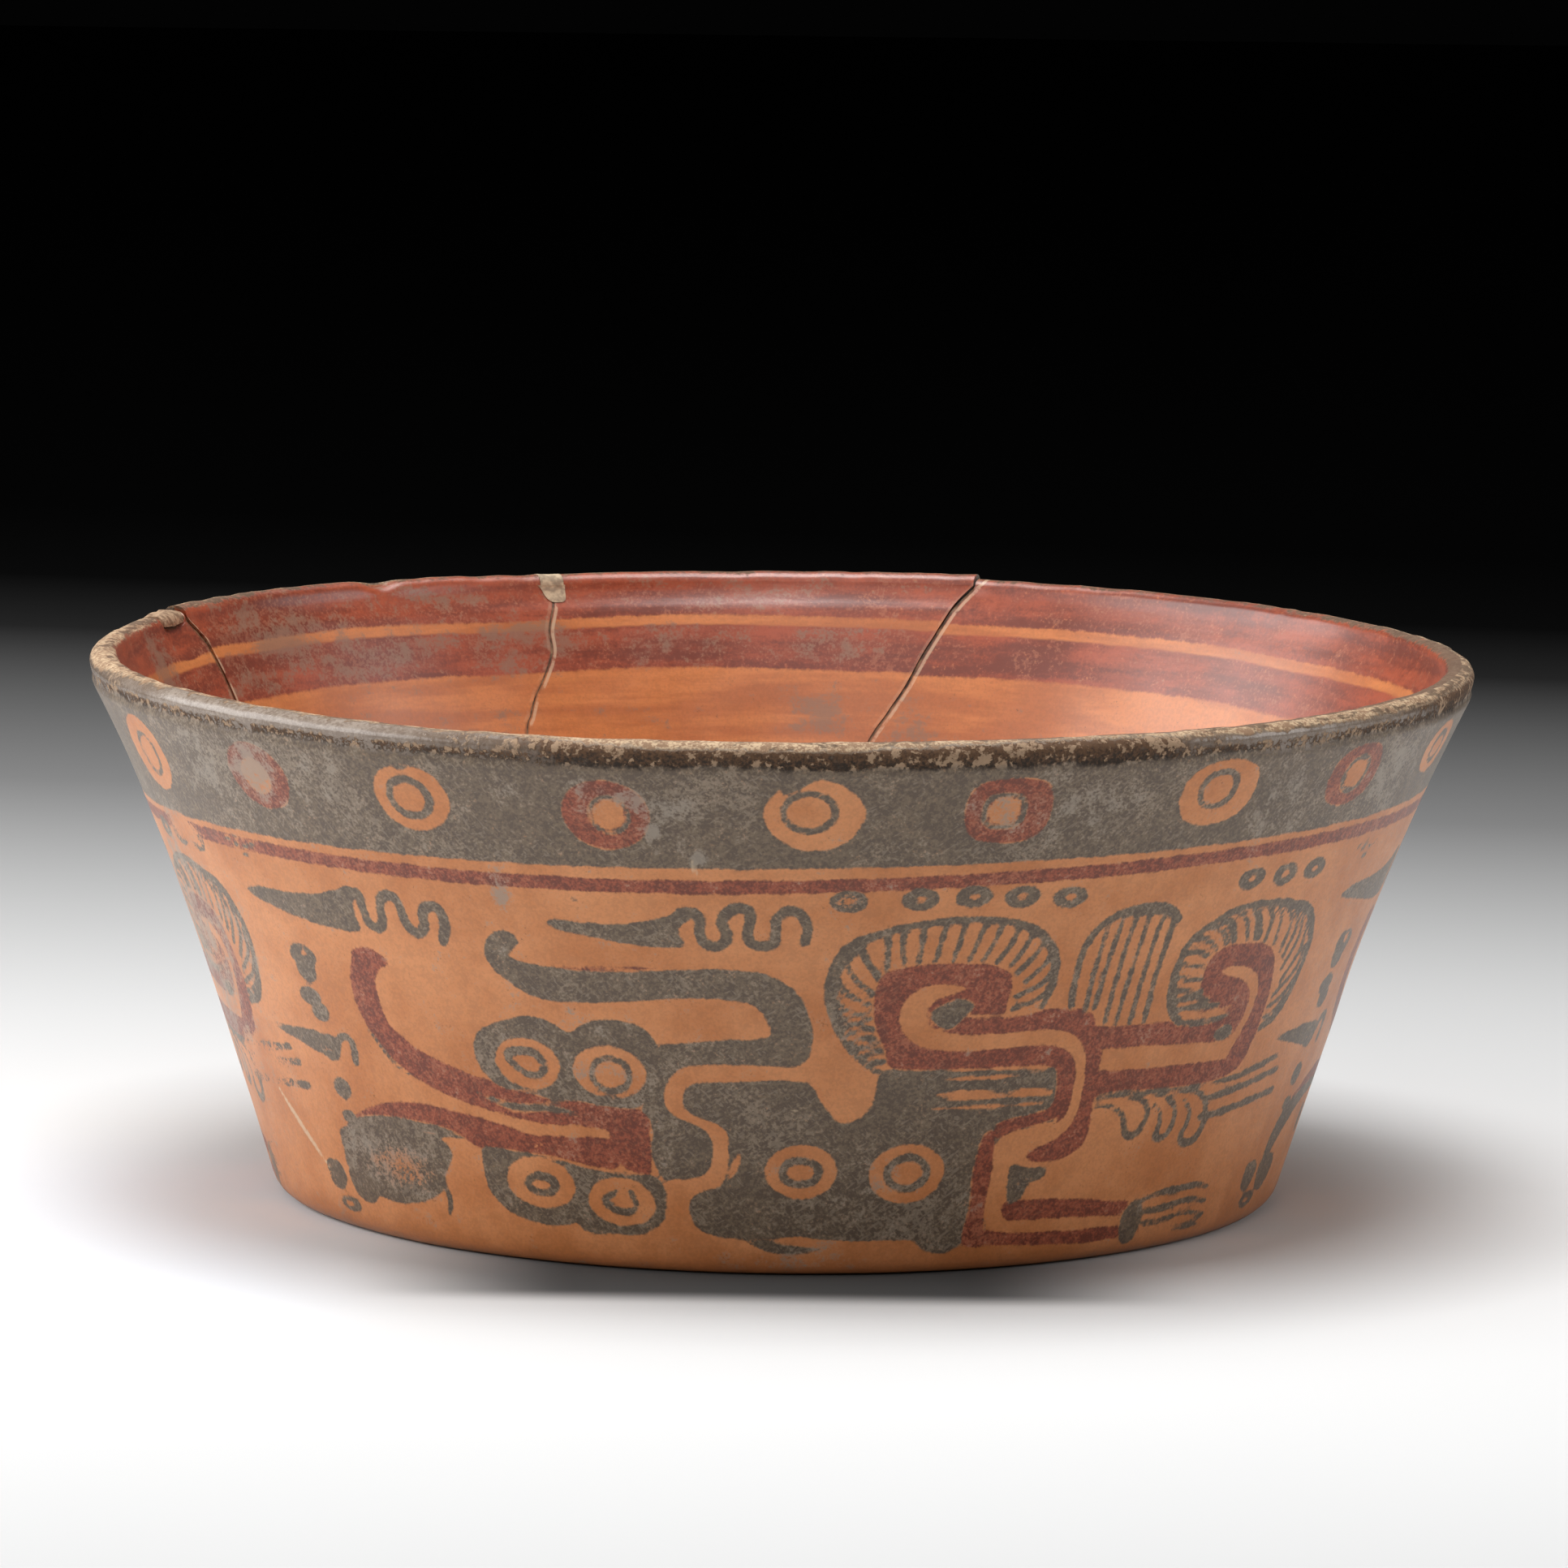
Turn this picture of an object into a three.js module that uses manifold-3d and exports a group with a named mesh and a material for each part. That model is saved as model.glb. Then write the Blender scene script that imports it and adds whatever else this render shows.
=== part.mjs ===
// Painted pottery bowl with flaring walls and a flat base, broken long ago and glued together again.
// Sizes are in millimetres, +Z is up, and the origin is the middle of the flat underside.
// The front faces -Y. Angles around the bowl are in degrees from the front, growing towards +X.

import * as THREE from 'three';
import { mergeVertices } from 'three/addons/utils/BufferGeometryUtils.js';
import Module from 'manifold-3d';

const wasm = await Module();
wasm.setup();

// Outside of the bowl
const HEIGHT = 88.1;
const RIM_RADIUS = 112.5;
const BASE_RADIUS = 78.6; // of the flat that it rests on
const FOOT_RADIUS = 82.4; // of the wall just above the rounded base edge
const FOOT_LEVEL = 3; // height of the rounded base edge
const LOW_SLOPE = 17.2; // degrees that the low wall leans out from the vertical
const FLARE_POWER = 3.35; // a higher value keeps the wall straight for longer before it flares

// Lip
const LIP_FACE = 4.7; // height of the upright outer face
const LIP_THICKNESS = 4.4;
const LIP_ROUND = 1.7; // radius of both top edges, less where the lip is too small for it

// Wall and floor
const WALL_THICKNESS = 6; // measured level
const FLOOR_THICKNESS = 7;
const INNER_CORNER = 12; // radius between the floor and the wall

// Breaks, glue and filler
const GLUE_WIDTH = 0.4;
const GLUE_RECESS = 0.3; // the glue lies this far below the faces of the wall
const CLEARANCE = 0.3; // between a piece of clay and the glue or filler beside it
const BREAK_GAP = GLUE_WIDTH + 2 * CLEARANCE;
const CENTRE_FILL_OFFSET = 0.4; // degrees past the top of the centre break
const CENTRE_FILL_WIDTH = 4.8;
const CENTRE_FILL_DEPTH = 4.6;
const LEFT_FILL_OFFSET = 2.1; // degrees past the top of the left break
const LEFT_FILL_WIDTH = 10;
const LEFT_FILL_DEPTH = 2.6;

// Each break is a line over the wall through these points: degrees around, and the share of the
// wall's height above the base edge. The upright ones start just above the rim.
const LEFT_BREAK = [
  [248, 1.06], [247.5, 1], [245.5, 0.946], [244.8, 0.893], [244.4, 0.84], [243.5, 0.6], [242.5, 0.317],
];
const CENTRE_BREAK = [
  [201, 1.06], [201.2, 1], [201.7, 0.946], [202.6, 0.893], [202.7, 0.85], [204, 0.8], [205.2, 0.765],
  [206, 0.73], [206.8, 0.685], [208.4, 0.45], [209.5, 0.25],
];
const RIGHT_BREAK = [
  [160.3, 1.06], [161.5, 1], [163.6, 0.946], [165, 0.893], [166.3, 0.84], [167.5, 0.787], [169.1, 0.733],
  [170.8, 0.68], [175.6, 0.5], [179, 0.36],
];
const LOWER_LEFT_BREAK = [[209.5, 0.25], [218, 0.215], [230, 0.27], [242.5, 0.317]];
const LOWER_CENTRE_BREAK = [[179, 0.36], [190, 0.325], [200, 0.285], [209.5, 0.25]];

// Fineness of the round shapes
const SEGMENTS = 80;
const WALL_STEPS = 8;
const ROUND_STEPS = 3;
const BREAK_STEPS = 12;
const BITE_STEPS = 10;
const CUT_STEPS = 8; // outwards through the wall, so that a slanting cut keeps its even width

// A cut through the wall starts inside the bowl, ends outside it, and clears the rim.
const CUT_FROM = BASE_RADIUS - WALL_THICKNESS - INNER_CORNER;
const CUT_TO = 1.2 * RIM_RADIUS;
const CUT_TOP = 0.06 * HEIGHT;

const LIP_FOOT = HEIGHT - LIP_FACE;
const LIP_EDGE = Math.min(LIP_ROUND, 0.45 * LIP_THICKNESS, 0.9 * LIP_FACE);
const MID_WALL_RADIUS = (RIM_RADIUS + FOOT_RADIUS) / 2 - WALL_THICKNESS / 2;

const degrees = THREE.MathUtils.degToRad;

// Radius of the outer wall at a height: a steady lean, plus a flare that grows as a power of the height.
function outerRadius(z) {
  const lean = Math.tan(degrees(LOW_SLOPE));
  const flare = RIM_RADIUS - FOOT_RADIUS - lean * (LIP_FOOT - FOOT_LEVEL);
  const share = Math.max(z - FOOT_LEVEL, 0) / (LIP_FOOT - FOOT_LEVEL);
  return FOOT_RADIUS + lean * (z - FOOT_LEVEL) + flare * share ** FLARE_POWER;
}

function innerRadius(z) {
  return outerRadius(z) - WALL_THICKNESS;
}

// Points of a quarter round from one point to another, bulging towards the corner between them.
function roundedCorner(from, corner, to) {
  return new THREE.QuadraticBezierCurve(from, corner, to).getPoints(ROUND_STEPS);
}

// Section of the bowl from the middle of the underside, up the outside, over the lip and back down
// the inside to the middle of the floor. An inset draws every face back into the clay.
function bowlSection(inset = 0) {
  const at = (x, y) => new THREE.Vector2(x, y);
  const outer = RIM_RADIUS - inset;
  const inner = RIM_RADIUS - LIP_THICKNESS + inset;
  const top = HEIGHT - inset;
  const floor = FLOOR_THICKNESS - inset;
  const cornerTop = FLOOR_THICKNESS + INNER_CORNER;
  const points = [at(0, inset)];
  points.push(...roundedCorner(
    at(BASE_RADIUS - inset, inset),
    at(outerRadius(inset) - inset, inset),
    at(FOOT_RADIUS - inset, FOOT_LEVEL),
  ));
  for (let i = 1; i <= WALL_STEPS; i += 1) {
    const z = THREE.MathUtils.lerp(FOOT_LEVEL, LIP_FOOT, i / WALL_STEPS);
    points.push(at(outerRadius(z) - inset, z));
  }
  points.push(...roundedCorner(at(outer, top - LIP_EDGE), at(outer, top), at(outer - LIP_EDGE, top)));
  points.push(...roundedCorner(at(inner + LIP_EDGE, top), at(inner, top), at(inner, top - LIP_EDGE)));
  for (let i = 0; i < WALL_STEPS; i += 1) {
    const z = THREE.MathUtils.lerp(LIP_FOOT, cornerTop, i / WALL_STEPS);
    points.push(at(innerRadius(z) + inset, z));
  }
  const wallFoot = innerRadius(FLOOR_THICKNESS) + inset;
  points.push(...roundedCorner(
    at(innerRadius(cornerTop) + inset, cornerTop),
    at(wallFoot, floor),
    at(wallFoot - INNER_CORNER, floor),
  ));
  points.push(at(0, floor));
  return points;
}

// Turns a closed geometry into a solid: shared corners are merged and empty triangles dropped.
function toSolid(geometry) {
  geometry.deleteAttribute('normal');
  geometry.deleteAttribute('uv');
  const merged = mergeVertices(geometry);
  const corners = merged.index.array;
  const triangles = [];
  for (let i = 0; i < corners.length; i += 3) {
    const [a, b, c] = corners.subarray(i, i + 3);
    if (a !== b && b !== c && c !== a) {
      triangles.push(a, b, c);
    }
  }
  return new wasm.Manifold(new wasm.Mesh({
    numProp: 3,
    vertProperties: new Float32Array(merged.attributes.position.array),
    triVerts: new Uint32Array(triangles),
  }));
}

function turnedBowl(inset) {
  const geometry = new THREE.LatheGeometry(bowlSection(inset), SEGMENTS);
  geometry.rotateX(Math.PI / 2);
  return toSolid(geometry);
}

// A point of the wall laid out flat: x is the way around at the wall's middle radius, y the height.
function onWall([angle, share]) {
  const height = THREE.MathUtils.lerp(FOOT_LEVEL, HEIGHT, share);
  return new THREE.Vector2(degrees(angle) * MID_WALL_RADIUS, height);
}

function breakLine(points) {
  return new THREE.SplineCurve(points.map(onWall)).getPoints(BREAK_STEPS);
}

function angleAtRim(points) {
  return points.find(([, share]) => share === 1)[0];
}

// Stands a flat shape of the laid-out wall up again as a block that cuts through the wall.
function wallCut(shape) {
  const depth = CUT_TO - CUT_FROM;
  const geometry = new THREE.ExtrudeGeometry(shape, { depth, steps: CUT_STEPS, bevelEnabled: false });
  const place = geometry.attributes.position;
  for (let i = 0; i < place.count; i += 1) {
    const angle = place.getX(i) / MID_WALL_RADIUS;
    const radius = CUT_FROM + place.getZ(i);
    place.setXYZ(i, radius * Math.sin(angle), -radius * Math.cos(angle), place.getY(i));
  }
  return toSolid(geometry);
}

// Strip of even width along a break. Both ends run on by the given length.
function strip(line, width, run) {
  const last = line.length - 1;
  const first = line[0].clone().sub(line[1]).setLength(run);
  const final = line[last].clone().sub(line[last - 1]).setLength(run);
  const points = [line[0].clone().add(first), ...line, line[last].clone().add(final)];
  const sides = points.map((point, i) => {
    const before = points[Math.max(i - 1, 0)];
    const after = points[Math.min(i + 1, points.length - 1)];
    const along = after.clone().sub(before).setLength(width / 2);
    return new THREE.Vector2(-along.y, along.x);
  });
  const left = points.map((point, i) => point.clone().add(sides[i]));
  const right = points.map((point, i) => point.clone().sub(sides[i]));
  return wallCut(new THREE.Shape([...left, ...right.reverse()]));
}

// Half an ellipse bitten out of the rim, open upwards.
function rimBite(angle, width, depth, grow) {
  const middle = degrees(angle) * MID_WALL_RADIUS;
  const halfWidth = (width * MID_WALL_RADIUS) / RIM_RADIUS / 2 + grow;
  const points = [new THREE.Vector2(middle + halfWidth, HEIGHT + CUT_TOP)];
  points.push(new THREE.Vector2(middle - halfWidth, HEIGHT + CUT_TOP));
  for (let i = 0; i <= BITE_STEPS; i += 1) {
    const turn = Math.PI + (Math.PI * i) / BITE_STEPS;
    const across = middle + halfWidth * Math.cos(turn);
    points.push(new THREE.Vector2(across, HEIGHT + (depth + grow) * Math.sin(turn)));
  }
  return wallCut(new THREE.Shape(points));
}

function toMesh(name, solid, finish) {
  const { vertProperties, triVerts } = solid.getMesh();
  const geometry = new THREE.BufferGeometry();
  geometry.setAttribute('position', new THREE.BufferAttribute(vertProperties, 3));
  geometry.setIndex(new THREE.BufferAttribute(triVerts, 1));
  geometry.computeVertexNormals();
  const mesh = new THREE.Mesh(geometry, new THREE.MeshStandardMaterial(finish));
  mesh.name = name;
  return mesh;
}

const SLIPPED_CLAY = { color: 0xb6724b, roughness: 0.5, metalness: 0 };
const OLD_GLUE = { color: 0x5a4028, roughness: 0.6, metalness: 0 };
const CENTRE_PUTTY = { color: 0xb59c7d, roughness: 0.85, metalness: 0 };
const LEFT_PUTTY = { color: 0xc4a684, roughness: 0.85, metalness: 0 };

const left = breakLine(LEFT_BREAK);
const centre = breakLine(CENTRE_BREAK);
const right = breakLine(RIGHT_BREAK);
const lowerLeft = breakLine(LOWER_LEFT_BREAK);
const lowerCentre = breakLine(LOWER_CENTRE_BREAK);

const clay = turnedBowl(0);
const glueBody = turnedBowl(GLUE_RECESS);

// The ground that each loose piece covers on the wall, up to the middle of its breaks
const leftOutline = [...centre, ...lowerLeft.slice(1), ...left.slice(0, -1).reverse()];
const centreOutline = [...right, ...lowerCentre.slice(1), ...centre.slice(0, -1).reverse()];
const leftGround = wallCut(new THREE.Shape(leftOutline));
const centreGround = wallCut(new THREE.Shape(centreOutline));

const gaps = [left, centre, right, lowerLeft, lowerCentre]
  .map((line) => strip(line, BREAK_GAP, BREAK_GAP / 2))
  .reduce((all, gap) => all.add(gap));

const centreFillAngle = angleAtRim(CENTRE_BREAK) + CENTRE_FILL_OFFSET;
const leftFillAngle = angleAtRim(LEFT_BREAK) + LEFT_FILL_OFFSET;
const centreFill = rimBite(centreFillAngle, CENTRE_FILL_WIDTH, CENTRE_FILL_DEPTH, 0);
const leftFill = rimBite(leftFillAngle, LEFT_FILL_WIDTH, LEFT_FILL_DEPTH, 0);
const centrePocket = rimBite(centreFillAngle, CENTRE_FILL_WIDTH, CENTRE_FILL_DEPTH, CLEARANCE);
const leftPocket = rimBite(leftFillAngle, LEFT_FILL_WIDTH, LEFT_FILL_DEPTH, CLEARANCE);

// The glue in an upright break runs its whole length. The glue under a loose piece stops beside it.
const glueIn = (line) => glueBody.intersect(strip(line, GLUE_WIDTH, 0));
const uprightRoom = [left, centre, right]
  .map((line) => strip(line, BREAK_GAP, CLEARANCE))
  .reduce((all, room) => all.add(room));
const glueUnder = (line) => glueIn(line).subtract(uprightRoom);

const mainBody = clay.subtract(leftGround).subtract(centreGround).subtract(gaps).subtract(leftPocket);
const backLeftSherd = clay.intersect(leftGround).subtract(gaps).subtract(centrePocket);
const backCentreSherd = clay.intersect(centreGround).subtract(gaps).subtract(centrePocket);
const leftRimFill = clay.intersect(leftFill).subtract(leftGround).subtract(gaps);

const sherds = new THREE.Group();
sherds.add(
  toMesh('main_body', mainBody, SLIPPED_CLAY),
  toMesh('back_left_sherd', backLeftSherd, SLIPPED_CLAY),
  toMesh('back_centre_sherd', backCentreSherd, SLIPPED_CLAY),
);

const glueLines = new THREE.Group();
glueLines.add(
  toMesh('left_glue_line', glueIn(left), OLD_GLUE),
  toMesh('centre_glue_line', glueIn(centre).subtract(centrePocket), OLD_GLUE),
  toMesh('right_glue_line', glueIn(right), OLD_GLUE),
  toMesh('lower_left_glue_line', glueUnder(lowerLeft), OLD_GLUE),
  toMesh('lower_centre_glue_line', glueUnder(lowerCentre), OLD_GLUE),
);

const rimFills = new THREE.Group();
rimFills.add(
  toMesh('centre_rim_fill', clay.intersect(centreFill), CENTRE_PUTTY),
  toMesh('left_rim_fill', leftRimFill, LEFT_PUTTY),
);

const bowl = new THREE.Group();
bowl.add(sherds, glueLines, rimFills);

export default bowl;
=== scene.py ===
"""Looks of a slip-painted pottery bowl that was broken long ago and glued together again.

Angles around the bowl are in degrees from the front (-Y), growing towards +X. Places on the wall are
given by the angle and the slant: the millimetres along the outer or inner face down from the rim.
"""

import logging
import math
from dataclasses import dataclass
from enum import Enum

import bmesh
import bpy
import numpy as np
from mathutils import Matrix, Vector


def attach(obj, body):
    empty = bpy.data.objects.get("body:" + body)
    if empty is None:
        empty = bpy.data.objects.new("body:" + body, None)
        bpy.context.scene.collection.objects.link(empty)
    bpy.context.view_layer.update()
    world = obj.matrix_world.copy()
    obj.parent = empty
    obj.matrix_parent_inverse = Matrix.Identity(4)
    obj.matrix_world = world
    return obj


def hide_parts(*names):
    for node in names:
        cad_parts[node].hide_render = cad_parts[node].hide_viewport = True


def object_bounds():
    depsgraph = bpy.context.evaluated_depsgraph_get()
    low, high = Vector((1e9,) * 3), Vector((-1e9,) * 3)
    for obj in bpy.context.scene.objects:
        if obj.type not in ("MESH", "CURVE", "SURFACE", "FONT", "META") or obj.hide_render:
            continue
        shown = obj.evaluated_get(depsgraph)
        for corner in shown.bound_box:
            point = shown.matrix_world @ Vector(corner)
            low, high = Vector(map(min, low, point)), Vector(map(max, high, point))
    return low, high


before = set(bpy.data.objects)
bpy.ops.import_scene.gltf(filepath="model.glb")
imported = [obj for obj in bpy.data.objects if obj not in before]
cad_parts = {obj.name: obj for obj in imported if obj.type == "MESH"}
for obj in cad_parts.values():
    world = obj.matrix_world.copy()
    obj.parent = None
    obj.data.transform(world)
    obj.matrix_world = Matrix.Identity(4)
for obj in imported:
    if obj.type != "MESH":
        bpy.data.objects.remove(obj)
CAD_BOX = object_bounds()

LOG = logging.getLogger("pottery_bowl")
MM = 0.001
BODY = "root"

Array = np.ndarray
Place = tuple[float, float]
Waves = tuple[tuple[float, int, float], ...]
Noise = tuple[float, Place, int]
Made = tuple[bpy.types.Object, Array]


# Small tools for curves and noise

def spline(points: Array, steps: int, closed: bool = False) -> Array:
    """Smooth curve through points: each stretch is the Catmull-Rom cubic of its four neighbours.

    A point given twice makes a corner.

    Args:
        points: One row for each point, with any number of columns.
        steps: Straight pieces for each stretch between two points.
        closed: Whether the curve returns to its first point.

    Returns:
        The points of the curve, one row each.
    """
    if closed:
        padded = np.vstack([points[-1], points, points[:2]])
    else:
        padded = np.vstack([2 * points[0] - points[1], points, 2 * points[-1] - points[-2]])
    before, start, end, after = padded[:-3], padded[1:-2], padded[2:-1], padded[3:]
    t = (np.arange(steps) / steps)[None, :, None]
    before, start, end, after = (p[:, None, :] for p in (before, start, end, after))
    curve = 0.5 * (
        2 * start
        + (end - before) * t
        + (2 * before - 5 * start + 4 * end - after) * t**2
        + (3 * start - before - 3 * end + after) * t**3
    )
    curve = curve.reshape(-1, points.shape[1])
    return curve if closed else np.vstack([curve, points[-1]])


def smooth(value: Array, low: float, high: float) -> Array:
    """Smooth step from 0 at low to 1 at high: 3 t^2 - 2 t^3."""
    t = np.clip((value - low) / (high - low), 0, 1)
    return t * t * (3 - 2 * t)


def bell(value: Array, middle: float, width: float) -> Array:
    """Bell curve, 1 at its middle: exp(-((value - middle) / width)^2)."""
    return np.exp(-(((value - middle) / width) ** 2))


def waves(angle: Array, rows: Waves) -> Array:
    """Sum of waves round the bowl, each with its size, number and start: size sin(number angle + start)."""
    return sum(size * np.sin(number * angle + start) for size, number, start in rows)


def corner_curve(start: Place, corner: Place, end: Place, steps: int) -> Array:
    """Curve drawn towards a corner: (1 - t)^2 start + 2 t (1 - t) corner + t^2 end.

    Args:
        start: Radius and height of the start.
        corner: The corner.
        end: The end.
        steps: Number of points.

    Returns:
        The points after the start.
    """
    t = np.linspace(0, 1, steps + 1)[1:, None]
    return (1 - t) ** 2 * start + 2 * t * (1 - t) * corner + t**2 * end


def ripple(around: Array, along: Array, size: Place, seed: int) -> Array:
    """Smooth noise from -1 to 1 over the wall: random values on a lattice, blended by smooth steps.

    Args:
        around: Angles in degrees. The noise repeats after a full turn.
        along: Millimetres along the other direction.
        size: Lattice spacing in degrees and in millimetres.
        seed: Picks the lattice.

    Returns:
        The noise at each place.
    """
    columns = max(round(360 / size[0]), 3)
    rows = 64
    lattice = np.random.default_rng(seed).uniform(-1, 1, (columns, rows))
    u = np.mod(around / 360, 1) * columns
    v = along / size[1] + rows
    i, j = np.floor(u).astype(int), np.floor(v).astype(int)
    a, b = smooth(u - i, 0, 1), smooth(v - j, 0, 1)
    i, j = i % columns, j % rows
    i1, j1 = (i + 1) % columns, (j + 1) % rows
    low = lattice[i, j] * (1 - a) + lattice[i1, j] * a
    high = lattice[i, j1] * (1 - a) + lattice[i1, j1] * a
    return low * (1 - b) + high * b


# The form of the bowl

@dataclass(frozen=True)
class BowlForm:
    """Section of the bowl in millimetres. Height and rim radius come from the frame."""

    height: float = (CAD_BOX[1][2] - CAD_BOX[0][2]) / MM
    rim_radius: float = (CAD_BOX[1][0] - CAD_BOX[0][0]) / MM / 2
    base_radius: float = 78.6
    foot_radius: float = 82.4
    foot_level: float = 3.0
    low_slope: float = math.radians(17.2)
    flare_power: float = 3.35
    lip_face: float = 4.7
    lip_thickness: float = 4.4
    lip_edge: float = 1.7
    lip_blend: float = 1.1
    wall: float = 6.0
    floor: float = 7.0
    inner_corner: float = 12.0

    def outer_radius(self, z: Array) -> Array:
        """Radius of the outer wall: a steady lean, plus a flare that grows as a power of the height.

        Args:
            z: Heights in millimetres.

        Returns:
            The radii in millimetres.
        """
        lip_foot = self.height - self.lip_face
        lean = math.tan(self.low_slope)
        flare = self.rim_radius - self.foot_radius - lean * (lip_foot - self.foot_level)
        share = np.clip((z - self.foot_level) / (lip_foot - self.foot_level), 0, 1)
        level = np.minimum(z, lip_foot) - self.foot_level
        return self.foot_radius + lean * level + flare * share**self.flare_power

    def inner_radius(self, z: Array) -> Array:
        """Radius of the inner wall: the outer one less the wall, which thins towards the lip."""
        thin = smooth(z, self.height - self.lip_face - self.lip_blend, self.height - self.lip_edge)
        return self.outer_radius(z) - self.wall + (self.wall - self.lip_thickness) * thin

    def slant(self, z: Array, inside: bool = False) -> Array:
        """Millimetres from the rim down the outer or inner face to a height: the sum of chords.

        Args:
            z: Heights in millimetres.
            inside: Whether the way goes down the inner face.

        Returns:
            The slants in millimetres.
        """
        levels = np.linspace(0, self.height, 600)
        radii = self.inner_radius(levels) if inside else self.outer_radius(levels)
        chords = np.hypot(np.diff(radii), np.diff(levels))
        down = np.concatenate([np.cumsum(chords[::-1])[::-1], [0]])
        return np.interp(z, levels, down)


FORM = BowlForm()

# What the wall draws in for each millimetre of slant, and the length of a degree low on the wall.
DRAW_IN = 0.31
DEGREE_LENGTH = 1.5

# Angles of the two fills, and the gap left on each side of a lower break, in degrees and millimetres.
CENTRE_FILL_ANGLE = 201.6
LEFT_FILL_ANGLE = 249.6
BED_GAP = 0.3


# The painting

class Slip(Enum):
    """The slips that the painter had in hand. Orange is the ground, laid again over a dark area."""

    ORANGE = 1
    RED = 2
    BLACK = 3


@dataclass(frozen=True)
class Mark:
    """One mark of the brush, in degrees around and millimetres of slant below the rim.

    A width of 0 means a filled outline. Several widths follow the points one by one.
    """

    slip: Slip
    points: tuple[Place, ...]
    width: float | tuple[float, ...] = 0.0
    closed: bool = False
    steps: int = 5

    def distance(self, around: Array, slant: Array) -> Array:
        """Signed distance from places on the wall to the edge of the mark, negative inside it.

        For a stroke it is the distance to the nearest piece of the centre line, less half the width
        there. For a filled outline it is the distance to the nearest piece of the outline, with the
        sign of a count of crossings.

        Args:
            around: Angles of the places.
            slant: Slants of the places.

        Returns:
            The distances in millimetres.
        """
        filled = np.max(self.width) == 0
        widths = np.broadcast_to(self.width, len(self.points))
        line = spline(np.column_stack([self.points, widths]), self.steps, self.closed or filled)
        if self.closed or filled:
            line = np.vstack([line, line[0]])
        middle = float(np.mean(line[:, 1]))
        per_degree = math.radians(1) * (FORM.rim_radius - middle * DRAW_IN)
        a = line[:-1] * (per_degree, 1, 0.5)
        b = line[1:] * (per_degree, 1, 0.5)
        px = (around * per_degree)[:, None] - a[:, 0]
        py = slant[:, None] - a[:, 1]
        dx, dy = b[:, 0] - a[:, 0], b[:, 1] - a[:, 1]
        length = np.maximum(dx * dx + dy * dy, 1e-9)
        t = np.clip((px * dx + py * dy) / length, 0, 1)
        gap = np.hypot(px - t * dx, py - t * dy)
        if not filled:
            return (gap - (a[:, 2] + t * (b[:, 2] - a[:, 2]))).min(axis=1)
        above, below = py < 0, py < dy
        slope = dx / np.where(dy == 0, 1e-9, dy)
        crossings = (above != below) & (px < py * slope)
        inside = np.count_nonzero(crossings, axis=1) % 2 == 1
        nearest = gap.min(axis=1)
        return np.where(inside, -nearest, nearest)


def places(numbers: tuple[float, ...]) -> tuple[Place, ...]:
    """Pairs up the angles and slants of places that are given in turn."""
    return tuple(zip(numbers[::2], numbers[1::2], strict=True))


def stroke(slip: Slip, width: float | tuple[float, ...], *numbers: float) -> Mark:
    """A brush stroke along places, each an angle and a slant."""
    return Mark(slip, places(numbers), width)


def hairs(width: float, *lines: tuple[float, ...]) -> tuple[Mark, ...]:
    """Thin black strokes of one width, each along its own places."""
    return tuple(stroke(Slip.BLACK, width, *line) for line in lines)


def area(slip: Slip, *numbers: float) -> Mark:
    """A filled area inside an outline, each place an angle and a slant. A place given twice is a corner."""
    return Mark(slip, places(numbers))


def oval(slip: Slip, centre: Place, half: Place, width: float = 0.0, square: float = 1.0) -> Mark:
    """A filled oval, or a ring of the given width, from eight points on an ellipse.

    Args:
        slip: The slip.
        centre: Angle and slant of the middle.
        half: Half of its width in degrees and of its height in millimetres.
        width: Width of the ring, or 0 for a filled oval.
        square: How far the four points at the diagonals stand out, 1 for an ellipse.

    Returns:
        The mark.
    """
    turns = np.arange(8) * math.pi / 4
    out = np.where(np.arange(8) % 2 == 1, square, 1.0)
    around = centre[0] + half[0] * out * np.cos(turns)
    slant = centre[1] + half[1] * out * np.sin(turns)
    return Mark(slip, tuple(zip(around.tolist(), slant.tolist(), strict=True)), width, closed=True)


O, R, K = Slip.ORANGE, Slip.RED, Slip.BLACK

# The parts of the long figure in the order of painting, from its wavy plumes to its foot.

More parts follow.
